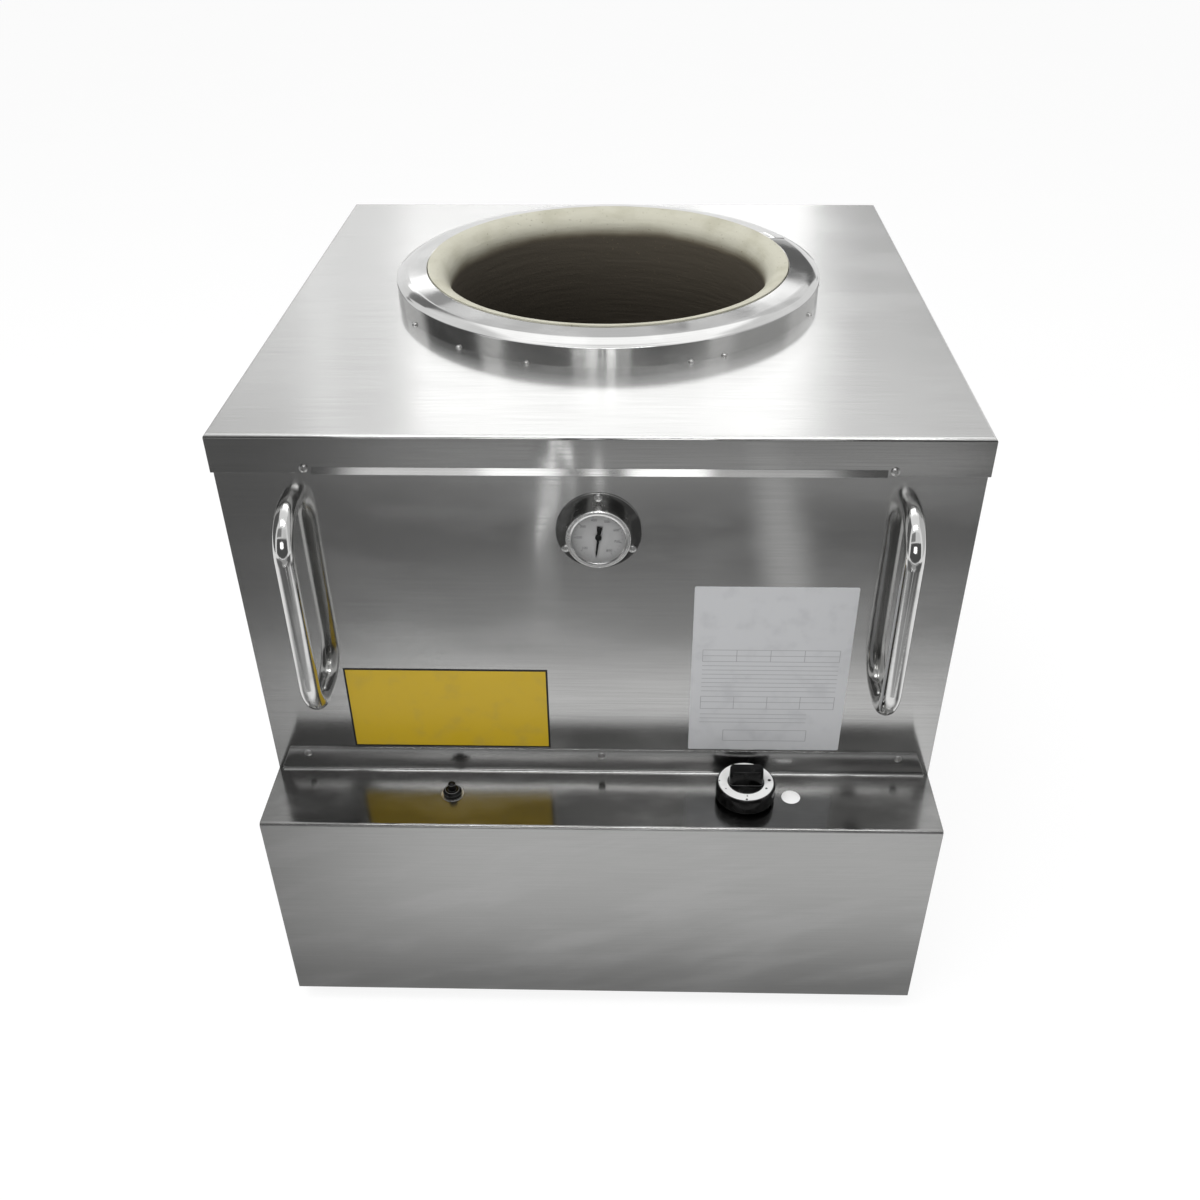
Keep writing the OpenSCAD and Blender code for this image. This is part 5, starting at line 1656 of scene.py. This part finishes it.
@dataclass
class Studio:
    """Floor, background, lamps, cards and the camera of the photograph."""

    place: tuple[float, float, float] = (0.03979, -1.43935, 1.28982)
    yaw: float = -0.026005
    pitch: float = 0.633031
    roll: float = -0.006283
    focal_px: float = 1197.39
    centre_px: tuple[float, float] = (610.86, 649.14)
    picture_px: float = 1200.0
    floor_side: float = 60
    floor_colour: str = "#efefef"
    # The floor's own white, and its share against the shaded floor that shows the shadow.
    floor_light: float = 1.08
    floor_lift: float = 0.80
    soft_light: float = 0.55
    lamp_place: tuple[float, float, float] = (-0.6, -0.9, 3.2)
    lamp_aim: tuple[float, float, float] = (0.0, 0.0, 0.5)
    lamp_side: float = 2.4
    lamp_watts: float = 70.0
    # A bent strip light lies on the floor: even as far as its kink, brightest just past it, and
    # fading from there towards the oven.
    strip_size: tuple[float, float] = (0.024, 0.075)
    strip_z: float = 0.014
    strip_soft: float = 0.010
    kink_y: float = -1.73
    kink_light: float = 3.5
    strip_light: float = 0.5
    strip_gain: float = 19.0
    fade_y: float = -1.40

    def camera(self) -> None:
        """Sets the camera where the photograph was taken."""
        cos_p, sin_p = math.cos(self.pitch), math.sin(self.pitch)
        ahead = Vector((math.sin(self.yaw) * cos_p, math.cos(self.yaw) * cos_p, -sin_p))
        right = Vector((math.cos(self.yaw), -math.sin(self.yaw), 0))
        up = right.cross(ahead)
        cos_r, sin_r = math.cos(self.roll), math.sin(self.roll)
        across, above = right * cos_r + up * sin_r, up * cos_r - right * sin_r
        lens = bpy.data.cameras.new("camera")
        lens.sensor_width = 36
        lens.lens = self.focal_px / self.picture_px * lens.sensor_width
        half = self.picture_px / 2
        lens.shift_x = (half - self.centre_px[0]) / self.picture_px
        lens.shift_y = (self.centre_px[1] - half) / self.picture_px
        camera = bpy.data.objects.new("camera", lens)
        turned = Matrix((across, above, -ahead)).transposed().to_4x4()
        camera.matrix_world = Matrix.Translation(self.place) @ turned
        bpy.context.scene.collection.objects.link(camera)
        bpy.context.scene.camera = camera

    def floor(self) -> None:
        """Lays the plain pale floor, lifted towards the white of the background."""
        Bench.clear()
        bpy.ops.mesh.primitive_plane_add(size=self.floor_side)
        ground = Bench.name("floor")
        on = Surface("matt_floor")
        faint = on.pattern((400, 400, 400), 0.0, 0.1)
        pale = {0: faint, 6: hex_colour(self.floor_colour), 7: WHITE}
        on.connect(
            on.shader,
            {
                "Base Color": on.add("ShaderNodeMix", pale, data_type="RGBA"),
                "Roughness": 0.9,
                "Specular IOR Level": 0.1,
            },
        )
        white = on.add("ShaderNodeEmission", {"Strength": self.floor_light})
        share = {0: on.seen(), 1: self.floor_lift}
        lift = on.add("ShaderNodeMath", share, operation="MULTIPLY")
        mixed = on.add("ShaderNodeMixShader", {0: lift, 1: on.shader, 2: white})
        on.connect(on.output, {"Surface": mixed})
        ground.data.materials.append(on.material)

    def background(self) -> None:
        """Makes the background white to the camera and to metal, and a soft light to the rest."""
        world = bpy.data.worlds.new("white_room")
        bpy.context.scene.world = world
        world.use_nodes = True
        on = Tree(world.node_tree)
        soft = on.add("ShaderNodeBackground", {"Color": WHITE, "Strength": self.soft_light})
        bright = on.add("ShaderNodeBackground", {"Color": WHITE, "Strength": 1.0})
        mixed = on.add("ShaderNodeMixShader", {0: on.seen(), 1: soft, 2: bright})
        on.add("ShaderNodeOutputWorld", {"Surface": mixed})

    def lamp(self) -> None:
        """Hangs the one soft lamp, over the front left corner of the oven."""
        light = bpy.data.lights.new("overhead_lamp", "AREA")
        light.shape, light.energy = "RECTANGLE", self.lamp_watts
        light.size = light.size_y = self.lamp_side
        lamp = bpy.data.objects.new("overhead_lamp", light)
        lamp.location = self.lamp_place
        lamp.rotation_mode = "QUATERNION"
        aim = Vector(self.lamp_aim) - Vector(self.lamp_place)
        lamp.rotation_quaternion = aim.to_track_quat("-Z", "Y")
        lamp.visible_glossy = False
        bpy.context.scene.collection.objects.link(lamp)

    def cards(self) -> None:
        """Stands the cards that shape the reflections in the steel."""
        up, down, back, front = (0, 0, 1), (0, 0.4, -1), (0, -1, 0), (0, 1, 0)
        # X and Y of each short length of the strip light.
        bends = (
            (-0.160, -1.88), (-0.140, -1.84), (-0.122, -1.80), (-0.112, -1.76), (-0.152, -1.70),
            (-0.161, -1.64), (-0.168, -1.57), (-0.172, -1.50), (-0.170, -1.44), (-0.162, -1.38),
            (-0.146, -1.33), (-0.130, -1.28), (-0.114, -1.23),
        )
        for i, (x, y) in enumerate(bends):
            light = self.strip_light + self.strip_gain * max(0.0, self.fade_y - y)
            if y < self.kink_y:
                light = self.kink_light
            place = (x, y, self.strip_z)
            name = f"strip_light_{i}"
            Card(name, place, self.strip_size, up, light, self.strip_soft).build()
        for card in (
            # On the floor in front: the front sheet, the lip and the box mirror them.
            Card("far_floor_card", (0, -2.60, 0.004), (5.0, 1.90), up, 0.40, 0.25),
            Card("near_floor_card", (0, -1.40, 0.006), (5.0, 0.86), up, 0.15, 0.25),
            Card("middle_floor_card", (0, -1.16, 0.007), (5.0, 0.46), up, 0.37, 0.16),
            Card("left_floor_card", (-1.35, -1.60, 0.008), (2.1, 2.1), up, 0.16, 0.60),
            Card("right_floor_card", (1.60, -1.60, 0.008), (1.9, 2.1), up, 0.12, 0.50),
            # Dark cards at the oven's foot: a painted contact shadow, which the box front mirrors.
            Card("painted_contact_shadow_card", (0, -0.485, 0.010), (1.8, 0.47), up, 0.22, 0.30),
            Card("left_painted_contact_shadow_card", (-0.74, -0.68, 0.011), (1.15, 0.80), up, 0.13, 0.50),
            Card("right_painted_contact_shadow_card", (0.82, -0.68, 0.011), (0.70, 0.80), up, 0.13, 0.34),
            Card("streak_glow_card", (-0.165, -1.62, 0.012), (0.12, 0.60), up, 0.35, 0.05),
            Card("slit_glow_card", (-0.045, -1.68, 0.012), (0.03, 0.22), up, 1.3, 0.012),
            Card("faint_streak_card", (0.335, -1.45, 0.012), (0.16, 0.90), up, 0.62, 0.07),
            # The room behind the camera. Low down it is dark: the collar's skirt and the knob
            # see it. Higher up the box top and the flange see it.
            Card("right_room_card", (0.9, -3.65, 4.6), (7.0, 3.2), front, 0.80, 0.30),
            Card("left_room_card", (-3.0, -3.62, 4.6), (5.6, 3.2), front, 0.26, 0.40),
            Card("low_room_card", (0, -3.60, 1.50), (10.0, 3.0), front, 0.10, 0.20),
            Card("left_wall_card", (-3.60, 0, 1.6), (3.2, 8.0), (1, 0, 0), 0.12, 0.40),
            Card("left_back_card", (-4.00, 3.90, 0.8), (2.8, 1.7), back, 0.15, 0.30),
            Card("right_wall_card", (3.60, 0, 1.6), (3.2, 8.0), (-1, 0, 0), 0.65, 0.40),
            # Windows in that room: the drip edge of the lip mirrors them.
            Card("wide_window_card", (-0.80, -3.50, 1.76), (0.70, 0.92), front, 2.0, 0.14),
            Card("left_window_card", (-0.42, -3.49, 1.76), (0.38, 0.92), front, 3.4, 0.03),
            Card("slit_window_card", (-0.11, -3.49, 1.76), (0.08, 0.92), front, 3.4, 0.02),
            Card("right_window_card", (0.155, -3.49, 1.76), (0.31, 0.92), front, 4.0, 0.03),
            Card("end_window_card", (0.56, -3.50, 1.76), (0.62, 0.92), front, 1.3, 0.14),
            # A long softbox over the front catches the bends, the handles and the knob.
            Card("strip_softbox_card", (0, -1.35, 3.2), (2.0, 0.44), down, 11.0, 0.06),
            # The room behind the oven: the top pan and the collar see it.
            Card("high_window_card", (-0.15, 4.00, 2.62), (2.5, 0.74), back, 4.6, 0.30),
            Card("high_glow_card", (-0.15, 4.005, 2.62), (3.6, 1.0), back, 1.5, 0.55),
            Card("upper_wall_card", (0, 4.01, 3.90), (6.0, 1.60), back, 0.80, 0.30),
            Card("ceiling_card", (0.10, 2.10, 4.60), (4.6, 4.2), (0, 0, -1), 1.6, 0.60),
            Card("white_wedge_card", (-1.34, 3.97, 2.37), (0.46, 0.36), back, 2.0, 0.03),
            Card("white_end_card", (-1.84, 3.97, 2.54), (0.56, 0.40), back, 2.0, 0.03),
            Card("dark_left_card", (-1.25, 3.98, 2.80), (0.44, 0.50), back, 0.42, 0.06),
            Card("dark_far_left_card", (-2.55, 3.98, 3.42), (1.9, 1.36), back, 0.22, 0.10),
            Card("dark_middle_card", (0.40, 3.98, 3.62), (0.34, 0.24), back, 0.15, 0.05),
            Card("dark_right_card", (0.88, 3.98, 3.16), (0.28, 0.42), back, 0.14, 0.06),
            Card("low_window_card", (0.54, 4.03, 1.76), (0.56, 0.34), back, 2.6, 0.06),
            Card("grey_corner_card", (1.52, 4.02, 1.94), (1.46, 0.92), back, 0.16, 0.08),
        ):
            card.build()

    def build(self) -> None:
        """Sets up the whole studio."""
        self.camera()
        self.floor()
        self.background()
        self.lamp()
        self.cards()
        bpy.context.scene.view_settings.view_transform = "Standard"


def main() -> None:
    """Builds the oven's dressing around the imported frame, then the studio."""
    logging.basicConfig(level=logging.INFO, format="%(name)s: %(message)s")
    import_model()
    Bench.clear()

    collar_low, collar_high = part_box("collar_ring")
    top_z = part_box("top_pan")[1].z
    face_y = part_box("front_panel")[0].y
    pot_axis = Vector(
        ((collar_low.x + collar_high.x) / 2, (collar_low.y + collar_high.y) / 2, top_z)
    )
    dial_low, dial_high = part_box("thermo_dial")
    knob_low, knob_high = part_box("knob")
    knob_foot = Vector(
        ((knob_low.x + knob_high.x) / 2, (knob_low.y + knob_high.y) / 2, knob_low.z)
    )
    nut_low, nut_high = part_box("igniter_nut")
    nut_at = ((nut_low.x + nut_high.x) / 2, (nut_low.y + nut_high.y) / 2)

    finishes = Finishes(
        rim_z=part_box("clay_pot")[1].z, flange_z=nut_low.z, pot_axis=tuple(pot_axis)
    )
    finishes.build()
    ClayPot(finishes, pot_axis).build()
    CollarRing(finishes, pot_axis).build()
    Cabinet(finishes, face_y, top_z).build()
    Handles(finishes).build()
    bezel_foot_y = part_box("thermo_bezel")[1].y
    Thermometer(finishes, (dial_low + dial_high) / 2, dial_low.y, bezel_foot_y).build()
    ControlBox(finishes, nut_low.z, (knob_foot.x, knob_foot.y), nut_at).build()
    Knob(finishes, knob_foot).build()
    Burner(finishes).build()
    Studio().build()


if __name__ == "__main__":
    main()
